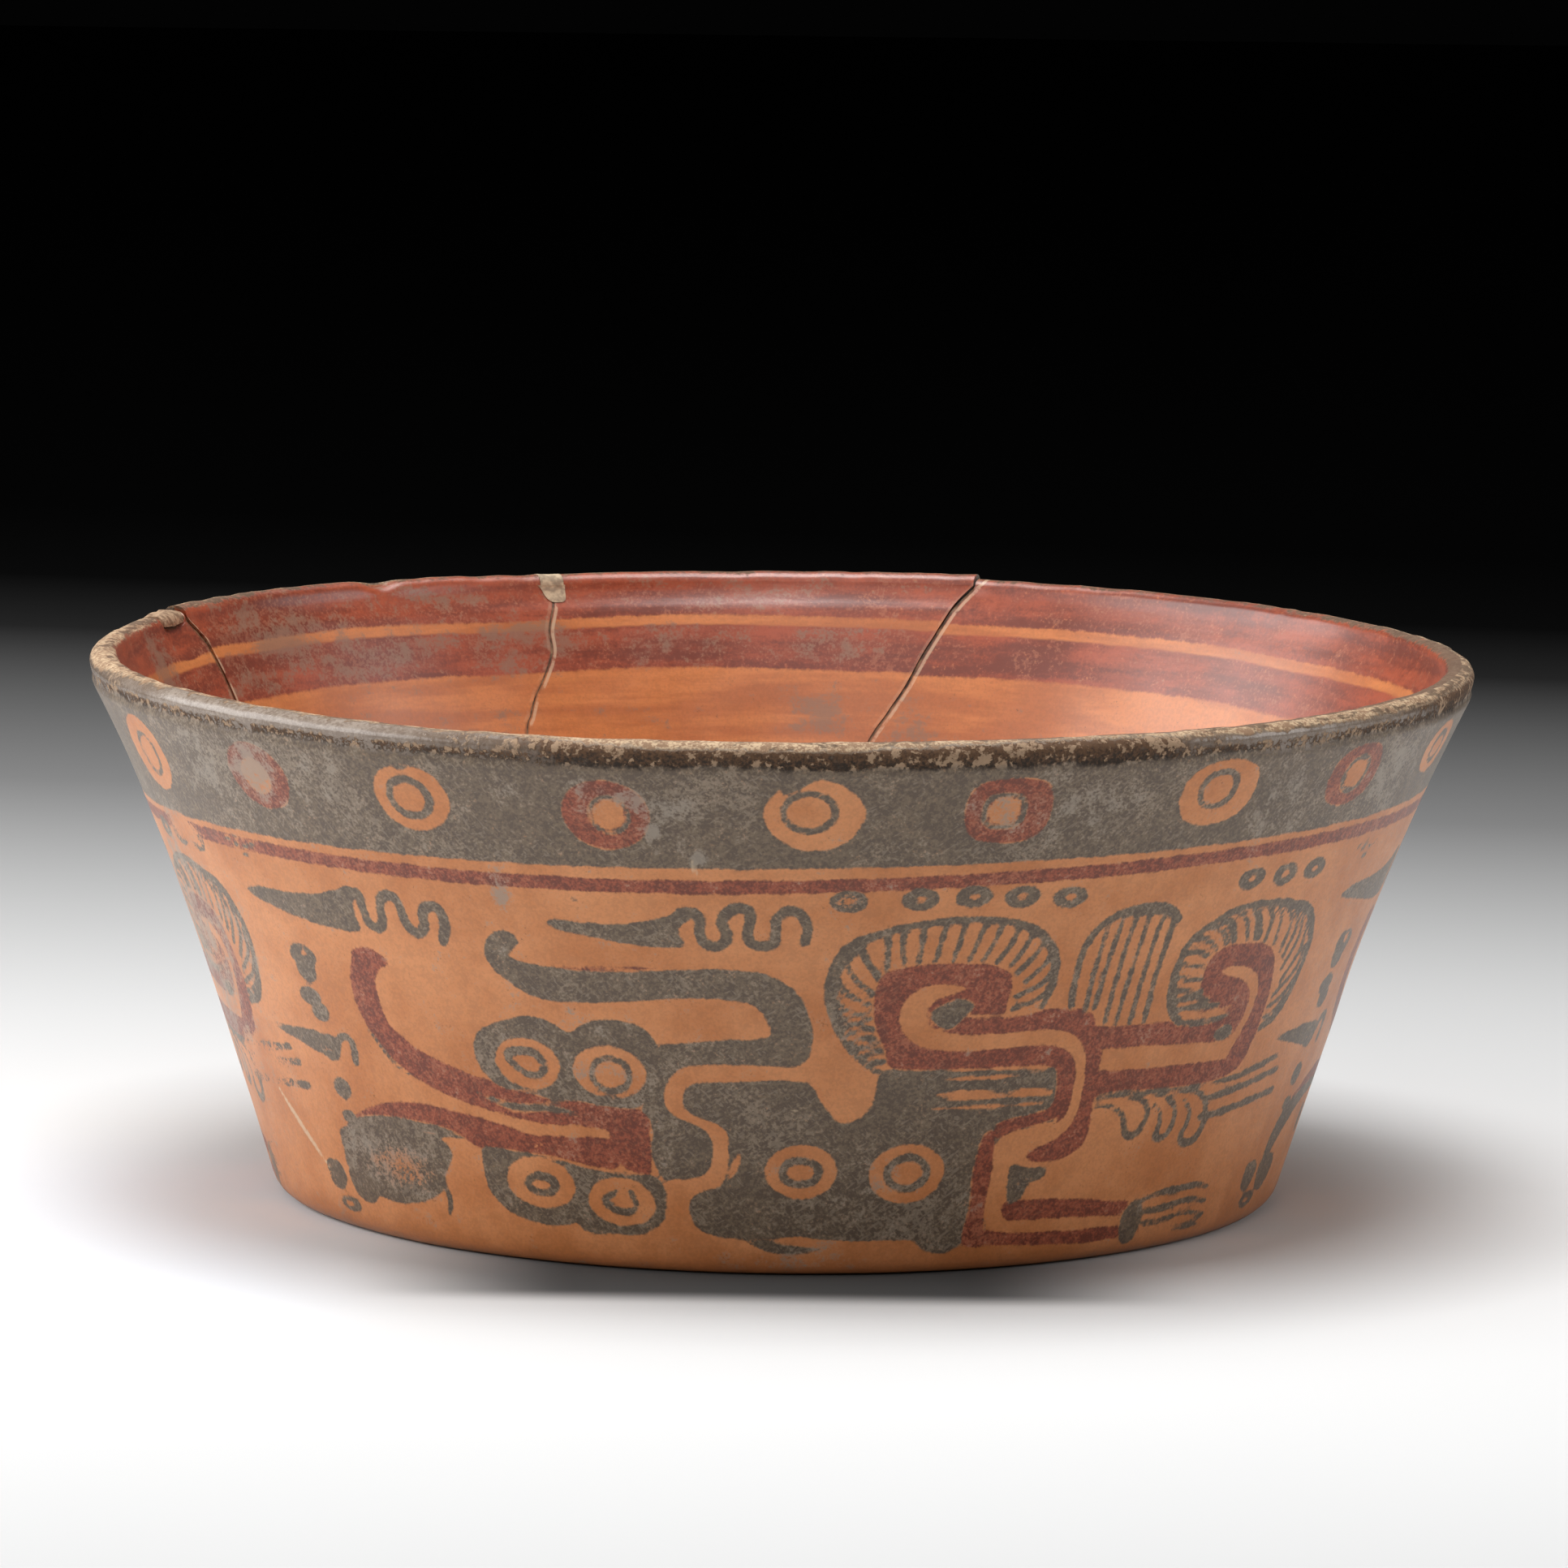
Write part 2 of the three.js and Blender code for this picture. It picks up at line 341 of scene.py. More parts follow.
PLUMES = (
    area(K, -57, 35, -55, 33.8, -50, 33.6, -46, 32.9, -43, 31.6, -41.6, 30.6, -40.6, 31, -41.3, 33.4,
         -41.4, 35.8, -41.2, 37.8, -42, 38.7, -44.5, 38.9, -47, 38.6, -50, 37.8, -53, 36.9, -56, 35.9),
    stroke(K, 1.9, -41.4, 31.8, -40.3, 31.8, -40.2, 34.3, -39.9, 36.6, -38.9, 37.5, -38.1, 36, -38, 33.8,
           -37.6, 31.9, -36.6, 31.2, -35.7, 32.2, -35.5, 34.5, -35, 36.8, -34, 37.4, -33.3, 36, -33.2, 34,
           -32.6, 32.4, -31.7, 32.3, -31.1, 33.6, -31.1, 36, -31.6, 38.4),
    area(K, -20.6, 33.2, -19.2, 32.6, -17, 32.9, -14, 32.8, -12, 32.2, -10, 31.3, -8.8, 30.2, -7.9, 29.5,
         -7.4, 31.2, -8.6, 32.8, -8.6, 34.6, -8.2, 36.3, -10, 36.8, -12.5, 36.5, -15.5, 35.8, -17.5, 35.1,
         -19.6, 34.5),
    stroke(K, 1.8, -8.4, 30.4, -7.3, 30.3, -6.8, 31.6, -6.8, 33.8, -6.4, 35.6, -5.4, 36.1, -4.6, 35.4,
           -4.5, 33.6, -4.9, 32, -4.5, 30.3, -3.5, 29.3, -2.5, 29.7, -2.4, 31.6, -2.6, 33.9, -2.2, 35.5,
           -1.1, 36, -0.3, 35.2, -0.2, 33.2, -0.1, 31.2, 0.6, 29.8, 1.5, 29.8, 2.3, 31.2, 2.6, 33, 2.4, 35),
)

SNOUT = (
    area(K, -24, 36.2, -24.8, 35.3, -26, 35.7, -27, 37.3, -27.4, 39.5, -27.1, 41.6, -26.1, 43.6,
         -24.8, 45.3, -23, 46.8, -20.5, 47.3, -18, 47.1, -15, 46.7, -12, 46.2, -9, 45.7, -6, 45.5,
         -3.6, 45.8, -2, 46.7, -1.1, 48.3, -0.6, 50, -0.6, 51.6, -1.6, 52.3, -4, 52.6, -7, 52.9, -9.3, 53.5,
         -11.2, 54, -11.2, 54, -12, 58, -12.4, 62, -13.4, 66, -12.4, 69, -12.6, 73, -11.6, 77.2, -10, 77.2,
         -8.4, 76.9, -7.2, 76.2, -6.5, 74.5, -6.2, 72, -6.5, 69.6, -7.4, 68.1, -9, 67, -10.4, 65.8,
         -11, 63.6, -10.7, 61, -9.9, 59, -8.6, 57.6, -6.5, 57, -3, 57, 0, 57.1, 2, 57, 3, 55.8, 3.4, 53.5,
         3.4, 51, 3.1, 48.5, 2.5, 46, 1.7, 44, 0.5, 42.2, -1, 41, -3, 40.3, -6, 40.2, -10, 40.7, -14, 41.3,
         -18, 41.5, -21, 41.1, -23.6, 40.7, -24.9, 39.9, -24.3, 38.4, -23.7, 37.4),
    stroke(R, (0.2, 0.6, 0.7, 0.5, 0.2), -22, 40.9, -19, 41.1, -16, 41.0, -13, 40.7, -11, 40.6),
)

TONGUE = (
    area(R, -43, 42.1, -41, 41.2, -39, 42.6, -38.6, 43.6, -39.8, 44.8, -40.8, 46.6, -41.1, 49, -41, 52,
         -40.5, 54.6, -39.2, 56.6, -37, 58.7, -34.3, 60.3, -31, 61.8, -28, 62.6, -24, 64.2, -20, 64.6,
         -16, 64.6, -13.4, 65.6, -12.5, 67.6, -12.7, 70, -12.6, 73, -13, 76.6, -15, 76.2, -16.6, 74,
         -16.8, 71, -17.2, 69.4, -20, 69, -24, 69.1, -28, 68.2, -31.5, 67.2, -34.3, 66.2, -37.4, 64.4,
         -40.2, 62, -42.3, 59, -43.7, 55.6, -44.4, 52, -44.5, 49, -44.1, 46, -43.4, 43.8),
    area(R, -49, 72.4, -46.4, 70.4, -43.5, 69, -40, 68.2, -36, 68.3, -32, 69, -28.5, 70, -25.4, 71.2,
         -22, 71, -17, 70.9, -16, 73, -16.5, 76, -20, 75.6, -24, 74.6, -28, 74.8, -31, 75, -34, 73.2,
         -37, 71.8, -41, 71.4, -45, 72, -47.6, 73.6),
    area(K, -52.6, 79, -51.5, 75.4, -49.5, 73.2, -46.6, 71.8, -43, 71.3, -39, 71.4, -36, 71.8, -33.6, 73.2,
         -36, 73.5, -39, 73.3, -43, 73.9, -45.5, 75, -48, 77.4, -50, 80.5, -51.6, 83.4, -52.8, 82),
    stroke(K, (0.4, 1.4, 1.2, 0.5), -31, 64.9, -27, 66.6, -23, 66.2, -20, 67),
    stroke(O, (0.4, 0.8, 1.0, 0.9, 0.5), -28, 69.4, -25.5, 70.2, -22.5, 69.8, -20, 69.3, -17.2, 70.4),
)

EYES = (
    area(K, -30.6, 57, -30.1, 54.8, -28.9, 53, -27, 51.5, -24.8, 50.5, -22.8, 50.5, -21.4, 51.3,
         -20.2, 52.5, -19.4, 52.1, -18.4, 50.8, -16.8, 50, -14.8, 49.9, -13.2, 50.5, -12.1, 51.8,
         -11.4, 53.6, -11.2, 57, -12, 61, -13.4, 65, -17, 65.2, -20, 64.6, -22.4, 64.8, -25, 63.9,
         -28.2, 63.2, -29.8, 61.2, -30.5, 59),
    oval(O, (-24.8, 58.7), (3.5, 4.4)),
    stroke(K, (1.2, 1.5, 1.6, 1.3, 1.2, 1.2, 1.3, 1.2), -23, 58.4, -23.9, 56.8, -25.5, 56.5, -26.9, 57.2,
           -26.4, 58.9, -25.2, 60.3, -23.8, 60.6, -23, 59.4),
    oval(O, (-16.3, 59.1), (3.7, 4.7)),
    oval(K, (-16.2, 59.6), (1.9, 2.9), 1.1),
    area(K, -31.8, 75, -30.6, 74.2, -27, 74.4, -23, 75, -19, 76.4, -15.4, 76.6, -12.4, 77, -11.4, 78.8,
         -11.3, 82, -12, 85, -13.4, 86.7, -15.4, 87.6, -17.6, 87.5, -19.2, 87.9, -20.8, 87.2, -21.6, 86,
         -22.6, 86.6, -24.6, 86.9, -27, 86.5, -29.4, 85.3, -31.1, 83, -31.9, 79.6),
    oval(O, (-25.2, 79.5), (4.0, 4.4)),
    oval(O, (-16.2, 81.7), (3.7, 4.2)),
    oval(K, (-25.1, 79.8), (1.6, 1.5), 1.4),
    stroke(K, (1.3, 1.0, 1.2, 1.3, 1.2, 1.0), -15.1, 80, -14.6, 82, -15.2, 83.3, -17.1, 83, -18, 81.6,
           -16.6, 79.9),
)

TRUNK = (
    area(K, -8.8, 61.6, -8, 60.4, -5, 60, -1, 59.6, 2.2, 59.6, 3.4, 60.4, 4.2, 62.4, 5.2, 65, 6.2, 66.7,
         7.8, 66.6, 9, 65.2, 9.7, 62.8, 9.9, 60, 10.2, 58, 12, 57.3, 15, 57.6, 19, 58.4, 28, 58.6, 30.6, 60,
         30.7, 66, 28.6, 68.4, 24.6, 69.4, 23, 71, 22.7, 76, 22.9, 82, 23.1, 88, 21.5, 88.9, 18.5, 88.8,
         15, 87.8, 10, 87.6, 5.5, 87.5, 2.4, 86.8, -1, 87.4, -4, 87.3, -6.4, 86.9, -8.1, 85.6, -8.9, 83.2,
         -8.7, 80.8, -7.6, 79.2, -6, 78.5, -5.2, 77, -4.8, 74.6, -4.7, 71.6, -4.8, 69, -5.8, 67.4,
         -7.4, 66.4, -8.8, 65.2, -9.2, 63.4),
    oval(O, (2.7, 75.5), (3.7, 4.8)),
    oval(K, (2.6, 75.6), (1.9, 2.1), 1.4),
    oval(O, (13.7, 76), (4.0, 5.2)),
    oval(K, (13.7, 75.9), (2.1, 2.7), 1.4),
    stroke(O, (0.4, 1.2, 0.3), -4.6, 76.6, -4, 74.4, -3.6, 72.4),
    stroke(O, (0.2, 0.7, 0.7, 0.4), 16, 59.4, 19, 59.7, 23, 59.5, 27, 59),
    stroke(O, (0.6, 1.7, 1.8, 1.7, 1.5, 0.8), 15.9, 62.4, 18, 62.5, 21, 62.6, 24.4, 62.6, 26.6, 62.8,
           28, 63),
    stroke(K, (0.2, 1.0, 1.0, 0.2), 21.3, 62.5, 22.4, 62.5, 23.4, 62.5, 24.4, 62.4),
    stroke(O, (0.3, 0.6, 0.6, 0.5, 0.3), 15.6, 64.6, 18, 64.7, 21, 64.9, 24, 64.9, 27.4, 64.6),
    stroke(O, (1.6, 1.5, 1.6), -8.1, 77.6, -6.2, 76.6, -5.5, 74),
    stroke(O, (1.3, 1.1, 1.4), -5.5, 74, -5.5, 71, -5.6, 69),
)

CREST = (
    stroke(K, (1.2, 1.3, 1.3, 1.4, 1.6, 1.8, 2.0, 2.4, 2.6, 2.0, 1.5, 1.3, 1.2, 1.2, 1.2, 1.3, 1.5, 1.6, 1.7,
            1.7, 1.5, 1.3, 1.2),
           10.4, 58.6, 8.8, 57, 7.3, 54.6, 6.2, 52, 5.4, 49.2, 4.9, 46, 4.9, 43, 5.3, 40, 6.1, 37.4,
           7.3, 35.2, 9.2, 33.7, 11.4, 32.6, 13.5, 32, 16, 31.6, 18.5, 31.7, 20.6, 32.2, 22.6, 33.4,
           24.2, 35.2, 25.3, 37.4, 25.9, 40, 26.1, 42.8, 25.9, 45.4, 25.2, 48.4),
    stroke(K, 1.3, 7.2, 36, 8, 38.6, 9.2, 41.6),
    stroke(K, 1.2, 9.7, 34, 9.8, 37, 9.9, 40.4),
    stroke(K, 1.1, 6, 38, 6.9, 41.4, 9.2, 45),
    *hairs(
        1.0,
        (11.2, 33, 11.1, 36.4, 11.5, 39.8),
        (12.9, 32.4, 12.8, 36, 12.7, 39.5),
        (5.2, 40.6, 6.1, 43.8, 8.8, 46.8),
        (4.9, 43.6, 6.1, 46.8, 8.9, 48.8),
        (5, 46.4, 6.4, 49, 9, 50.6),
        (5.8, 49.8, 7.3, 51.6, 9.6, 52.6),
    ),
    *hairs(
        0.95,
        (14.9, 32, 14.6, 35.4, 14.2, 39),
        (16.6, 32, 16.3, 35.4, 15.9, 39),
        (18.5, 32, 18, 35.4, 17.4, 39),
        (20.1, 32.4, 19.6, 35.4, 18.7, 39),
        (21.6, 33, 21.2, 36, 20.1, 39.4),
        (23.1, 34, 22.7, 36.6, 21.5, 40),
        (24.4, 35.4, 23.8, 38.2, 22.2, 41.6),
        (25.4, 38, 24.8, 40.4, 23.2, 43.2),
        (25.8, 41.4, 25, 43.6, 22.6, 45.6),
        (25.9, 44.6, 24.6, 46.6, 22.4, 47.8),
        (6.8, 52.8, 8.3, 54, 10, 54.4),
        (8.2, 55.4, 9.3, 56.2, 10.8, 56.2),
    ),
    area(R, 9.1, 43, 9.6, 41, 11, 39.9, 14, 39.3, 17, 39.3, 20, 40, 21.6, 41.6, 22, 44, 21.8, 46.6,
         22.2, 48.4, 26, 48.2, 29, 48.4, 31, 49.4, 31.7, 51.2, 32.6, 52.1, 40, 52.4, 48.6, 52.6, 50.6, 54.6,
         50.3, 57.4, 48, 57.4, 40, 56.5, 33.2, 56, 33.2, 56, 33.2, 59.9, 33.2, 59.9, 40, 60.4, 50.7, 60.8,
         52.6, 59.4, 54.3, 58.4, 54.6, 60.6, 53.6, 63, 51, 64.4, 46, 64.8, 40, 64.5, 34.2, 64.2, 33.4, 65.4,
         33.6, 69, 33.3, 72.4, 31.6, 74.6, 29.4, 75.2, 27.3, 74.9, 26.6, 73.2, 28.6, 70.4, 29.6, 67.6,
         28, 68.2, 24.6, 69.4, 23.2, 70.4, 22.4, 69.4, 23, 67.6, 26, 66.6, 28.4, 65.4, 28.5, 60.6,
         27.2, 58.3, 20, 57.9, 14, 57.9, 10.9, 57.2, 10.4, 54.4, 9.6, 51.6, 9, 48.4, 8.9, 45.6),
    area(K, 15.2, 46.8, 17, 45.6, 18.6, 46.8, 17.6, 49.2, 16.4, 51, 14.8, 49.6, 14.4, 48),
    stroke(K, (0.3, 0.8, 0.9, 0.8, 0.3), 34, 64.2, 37, 64.3, 41, 64.8, 45, 65, 50, 64.9),
    stroke(O, (0.6, 1.9, 3.0, 4.2, 4.3, 3.7, 3.0, 2.7, 2.7, 2.7, 2.6, 2.2, 1.9, 1.9, 2.0, 2.4, 2.6, 2.4, 1.6),
           17.3, 43.9, 15.9, 44, 14.1, 44.7, 12.9, 46.8, 12.9, 49.6, 14.1, 52, 16.6, 53.2, 19.6, 53.4,
           23.4, 53.3, 27, 53.2, 29.3, 54.5, 30.6, 57, 31.1, 60.2, 31.2, 63.6, 31.1, 66.4, 30.3, 69,
           28.4, 70.9, 26.4, 72, 25.2, 73.4),
    stroke(O, (0.2, 0.8, 0.9, 0.6, 0.2), 17.6, 48.4, 19, 48.9, 21.4, 49, 23.6, 48.7, 25.2, 48.4),
    stroke(O, (3.0, 3.4, 3.2, 2.6, 2.6, 2.4, 2.0, 1.9, 1.8, 1.4), 24.4, 71.8, 24.2, 74, 24, 77, 23.9, 80.4,
           24, 83.4, 24.9, 85.6, 28, 86.4, 34, 86.7, 40, 87, 44.4, 87.4),
)

FAN = (
    stroke(K, (1.2, 1.3, 1.3, 1.3, 1.4, 1.4, 1.5, 2.0, 2.2, 2.2, 1.8, 1.5), 28.6, 48.2, 28.4, 45, 28.4, 41,
           28.6, 38, 29.1, 35.6, 30, 33.6, 31.2, 32.3, 32.8, 31.6, 34.4, 31.5, 36, 31.8, 37.3, 32.6,
           38.2, 34),
    stroke(K, 0.95, 30.6, 33, 30.4, 38, 30.2, 44, 30.2, 49),
    stroke(K, 0.9, 34.8, 32.6, 34.6, 37, 34.3, 44, 34, 51.8),
    stroke(K, 1.2, 37.7, 33.6, 37.6, 38, 37.4, 44, 37.4, 51.8),
    *hairs(
        1.0,
        (32, 32.4, 31.7, 37, 31.4, 43, 31.2, 48.6),
        (33.4, 32.4, 33.1, 37, 32.9, 44, 32.7, 51.4),
        (36.4, 33, 36.1, 37, 35.9, 44, 35.7, 51.8),
    ),
)

SCROLL = (
    stroke(K, (1.3, 1.8, 2.0, 1.8, 1.4, 1.3, 1.3, 1.3, 1.4, 1.4, 1.4, 1.4, 1.5, 1.7, 1.8, 1.8, 1.7, 1.6, 1.5,
            1.5, 1.6, 1.8, 1.5),
           42.2, 53, 40.9, 51, 40.1, 48, 39.8, 45, 39.9, 42, 40.2, 39.4, 41, 37.5, 42.5, 35.8, 44.2, 34.3,
           46, 33.5, 48, 33.2, 50, 33.3, 52, 33.7, 54, 34.5, 56, 35.2, 57.6, 36.8, 58.8, 39.2, 59.6, 42,
           59.8, 45, 59.5, 48.4, 58.9, 52, 57.4, 55.2, 55.4, 56.4),
    area(R, 43.6, 43, 44.6, 40.8, 46.6, 40, 50, 40.4, 52.4, 41.6, 53.8, 44, 54.5, 47, 55, 50.4, 55.2, 54,
         55, 57.6, 54.2, 60.6, 52.6, 62.4, 50, 62, 50.4, 57, 49, 53.6, 45, 51.6, 44.2, 49, 43.6, 46),
    stroke(K, 1.4, 43.7, 35, 45.2, 36, 46.4, 39),
    *hairs(1.1, (41.4, 50.4, 44, 50.5, 47, 50.8), (42.2, 36.2, 44, 36.9, 45.4, 39.4)),
    stroke(K, (1.2, 1.8, 2.2), 47.8, 33.9, 49, 36, 49.7, 39),
    *hairs(
        1.0,
        (40.2, 40.4, 41.8, 40.5, 43.4, 41.4),
        (40, 42.2, 41.6, 42.8, 43.4, 43.4),
        (40, 44.4, 41.8, 45.2, 43.4, 45.5),
        (40.2, 46.6, 42, 47.5, 44, 47.9),
        (40.6, 48.6, 43, 48.9, 45.2, 49.4),
        (41, 38, 42.9, 38.5, 44.3, 40.3),
        (45.8, 34, 47.4, 36, 48.3, 39.4),
        (50, 33.8, 51.2, 36.4, 51.2, 40.2),
        (51.6, 34.2, 52.7, 37, 52.8, 41),
        (53.2, 34.8, 54.6, 38, 54.4, 42.6),
        (54.8, 35.4, 55.9, 39, 55.2, 44),
        (56.2, 36.4, 57, 41, 55.7, 46.2),
        (57.8, 38.4, 58.2, 43.4, 56.4, 48.4),
        (59, 43, 58.6, 47, 55.8, 51),
        (59.2, 48.2, 58, 51, 55.6, 53),
        (58.6, 51.8, 57, 54, 55.4, 54.8),
    ),
    area(O, 41.9, 51.2, 44, 51.2, 47, 51.5, 49.1, 51.2, 48.6, 52, 46, 52.5, 43.4, 52.3),
    stroke(K, (1.0, 1.1, 1.0, 0.4), 42, 52.9, 44.6, 53.4, 47.4, 53.2, 49.6, 52.4),
    area(K, 47.8, 55.6, 49, 54.6, 50.3, 55.2, 50.5, 56.6, 49.4, 57.4, 48.2, 57),
    area(O, 33.3, 56.3, 33.3, 56.3, 38, 56.4, 44, 57, 48, 57.7, 49.8, 57.5, 51, 56.2, 51.7, 53.8, 51.8, 51,
         51.2, 48.8, 49.8, 47, 47.8, 45.9, 46.2, 44.8, 46.4, 44.1, 48.4, 44.1, 50.4, 45, 51.9, 46.6,
         52.7, 49.2, 52.8, 52, 52.5, 54.8, 51.9, 57.4, 51.2, 59.6, 50.6, 60.9, 46, 60.5, 40, 60.2, 36, 59.9,
         33.3, 59.6, 33.3, 59.6),
)

HANDS = (
    stroke(K, (0.7, 1.2, 1.3, 1.2), 50, 65, 54, 64.6, 58, 63.7, 61.6, 62.8),
    stroke(K, 1.3, 49.4, 67.6, 53, 67.1, 58, 66.2, 62.6, 65.3),
    stroke(K, 1.4, 49.3, 70.9, 53, 70.5, 58, 69.8, 63.2, 69.1),
    stroke(K, (0.6, 0.8, 0.9, 1.1, 1.2, 1.3, 1.4, 1.4, 1.2, 1.1, 1.0, 0.9, 0.6), 33.8, 64.5, 36.4, 64.7,
           38.6, 65.4, 40.1, 66.4, 40.9, 68.2, 40.8, 70.2, 40, 72, 38.9, 72.2, 38.2, 70.6, 37.6, 68.5,
           36.4, 67, 35, 66.3, 33.8, 66.1),
    stroke(K, (0.7, 1.0, 1.1, 1.2, 1.3, 1.4, 1.1, 0.9, 0.7), 41.4, 65.2, 43.4, 66.2, 44.8, 68.4, 45.1, 70.8,
           44.5, 73, 43, 73.3, 43.1, 70.8, 42.7, 68.6, 41.6, 67),
    stroke(K, (0.7, 1.0, 1.2, 1.3, 1.4, 1.5, 1.6, 1.3, 1.0, 0.9, 0.7), 45, 65.4, 47.6, 66, 49.2, 67.6,
           50, 70, 50.1, 72.6, 49.2, 74.7, 47.6, 75, 46.8, 73.6, 47.4, 71.4, 47.2, 69, 46, 67.2),
)

FOOT = (
    area(R, 20.6, 88.6, 21, 82, 20.8, 76, 21.4, 70, 22.6, 69.6, 22.9, 76, 22.8, 82, 23, 86.4, 23.8, 87.2,
         23, 89.4),
    area(R, 24.9, 82, 27, 81.7, 31, 82, 35, 82.6, 39, 83.5, 41.4, 84, 41.6, 86.4, 38, 86, 32, 85.4,
         26.4, 85.2, 24.9, 84),
    area(R, 22.6, 86.8, 24.2, 86.8, 27, 87.4, 33, 87.8, 39, 88.1, 43.4, 88.4, 44, 90, 40, 90.4, 33, 90.2,
         27, 89.6, 22.8, 89),
    area(K, 40.8, 86.2, 42, 84.2, 43.2, 84, 44, 86, 44, 88.6, 43.4, 91, 42, 91.6, 41, 89.4),
    stroke(K, (1.0, 1.2, 1.3, 1.2, 1.0), 43, 84.3, 46, 83.4, 49, 83.3, 52, 83.2, 54.4, 84),
    stroke(K, (1.2, 1.4, 1.2, 0.9), 43.4, 86.2, 47, 86.3, 51, 85.6, 54.8, 86.6),
    stroke(K, (1.0, 0.9, 0.9, 1.1), 43.6, 88.4, 47, 88.6, 51, 87.8, 55, 89),
    stroke(K, (0.6, 1.1, 0.9), 49, 90.2, 52, 90.4, 54.4, 90.2),
    area(K, 25, 75.6, 26.8, 76, 29.2, 76.2, 29, 78, 27.4, 79, 26.8, 81.4, 25.2, 81.6),
)

BESIDE = (
    stroke(K, (0.4, 0.6, 0.6, 0.4), -43.8, 56, -42.4, 59, -41, 61.6, -39, 63.5),
    oval(K, (-50.8, 45.0), (2.1, 2.1)),
    oval(O, (-50.5, 44.6), (0.5, 0.8)),
    oval(K, (-51.4, 52.2), (1.8, 1.7)),
    stroke(K, (1.0, 1.2, 0.8), -51, 53.4, -50.6, 54.4, -50.8, 55.4),
    area(K, -60.2, 59, -56, 58.6, -52, 58.4, -50.8, 59.4, -51.4, 61.4, -52.4, 62.4, -56, 61, -59.6, 59.8),
    stroke(K, 1.6, -52.4, 60.8, -51.4, 62.2, -50, 62.3, -49.1, 60.4, -48.3, 58.7, -47, 58.5, -46.6, 60.2,
           -46.8, 62.6),
    oval(K, (-54.2, 88.9), (2.0, 1.4)),
    oval(O, (-54.4, 88.9), (0.8, 0.5)),
    oval(K, (-40, 78.4), (1.2, 2.6)),
    stroke(K, (0.4, 1.0, 0.6), -37.6, 82, -37.2, 84.6, -37.6, 87),
    oval(K, (69, 47), (1.5, 2.4)),
    oval(K, (69.3, 54.5), (1.4, 1.9)),
    oval(K, (69.5, 60), (1.3, 1.5)),
    oval(K, (69.5, 68), (1.4, 2.0)),
    oval(K, (69.5, 73), (1.2, 1.2)),
    area(K, 62.8, 82.4, 65, 81.8, 66.2, 84, 65, 87, 63, 86.4),
    area(K, 67, 82.6, 70.6, 82, 72, 84.6, 70, 88, 67.4, 87),
)

SMUDGES = (
    stroke(K, (0.3, 1.4, 1.8, 1.6, 0.4), -3.4, 87, -1.8, 88, 0, 88.8, 2.4, 89.2, 5, 89),
    stroke(K, (0.4, 1.6, 1.8, 0.6), 15, 87.4, 16.6, 88.8, 18.4, 89.4, 20, 89),
)

DROPS = tuple(
    mark
    for angle, level in ((6, 28), (12.3, 27.8), (17, 27.5), (21.4, 27.8), (26, 28.3), (46, 28.2),
                         (50.7, 28.3), (55.2, 28.3))
    for mark in (oval(K, (angle, level), (1.7, 2.0)), oval(O, (angle, level), (0.5, 0.6)))
) + tuple(
    oval(K, place, (0.5, 0.45))
    for place in ((-17.8, 28.8), (62.8, 26.2), (64, 27), (64.4, 25.6), (65.6, 26.8), (66.8, 26.4), (65, 28.4))
)

FIGURE = (
    DROPS + PLUMES + SNOUT + TONGUE + EYES + TRUNK + CREST + FAN + SCROLL + HANDS + FOOT + BESIDE + SMUDGES
)

SCRATCHES = (
    stroke(O, (0.3, 1.2, 1.0, 0.2), -65, 70, -62, 75, -58.5, 80.5, -56, 84.5),
    stroke(O, (0.2, 0.9, 0.3), -7, 20, -7.1, 22, -6.9, 24),
    stroke(O, (0.2, 0.5, 0.2), 1.4, 64.4, 2, 65, 2.8, 65.4),
)


@dataclass(frozen=True)
class Disc:
    """A disc of the black band: an orange one with a ring in it, or a red one with an orange eye."""

    slip: Slip
    centre: Place
    half: Place = (3.8, 6.2)
    inner: Place | None = None
    inner_half: Place = (1.9, 3.5)
    square: float = 1.0
    ring: float = 1.2

    def marks(self) -> tuple[Mark, ...]:
        """The disc and what is painted in it.

        Returns:
            The marks, from the lowest to the top one.
        """
        middle = self.inner or self.centre
        whole = oval(self.slip, self.centre, self.half, square=self.square)
        ring = oval(K, middle, self.inner_half, self.ring, self.square)
        if self.slip is O:
            return (whole, ring)
        eye = oval(O, middle, (self.inner_half[0] * 0.8, self.inner_half[1] * 0.85))
        return (whole, ring, eye) if self.ring else (whole, eye)


DISCS = (
    Disc(O, (-67.5, 13.2), (4.0, 6.8), (-67.3, 13.4), (1.8, 3.7), ring=0.9),
    Disc(R, (-48.2, 12.2), (3.8, 6.1), (-48.5, 12.4), (2.3, 3.9), ring=0.0),
    Disc(O, (-31.3, 12.4), (3.6, 6.1), (-31.5, 12.5), (1.9, 3.4), ring=1.4),
    Disc(R, (-14.1, 13.1), (3.7, 6.4), (-13.8, 13.1), (1.6, 3.3), ring=0.7),
    Disc(O, (2.8, 12.4), (4.1, 6.5), (2.4, 11.9), (2.1, 3.5), 0.99, 1.2),
    Disc(R, (18.7, 12.0), (3.7, 6.0), (18.3, 12.1), (1.7, 2.9), 1.12, 0.9),
    Disc(O, (38.2, 11.0), (4.0, 6.0), (38.0, 10.4), (1.75, 3.2), 1.05),
    Disc(R, (55.2, 11.2), (3.8, 5.7), (55.3, 11.2), (1.7, 3.1), 1.05, 1.0),
    Disc(O, (72.5, 10.6), (3.5, 4.8), (72.5, 10.6), (1.6, 2.6)),
) + tuple(
    Disc(O if number % 2 else R, (90.8 + 18.34 * number, 12 - math.cos(number)), square=1.06)
    for number in range(11)
)


# Marks that the painter made at one place only: dark paint over two discs, and the foot of the tongue.

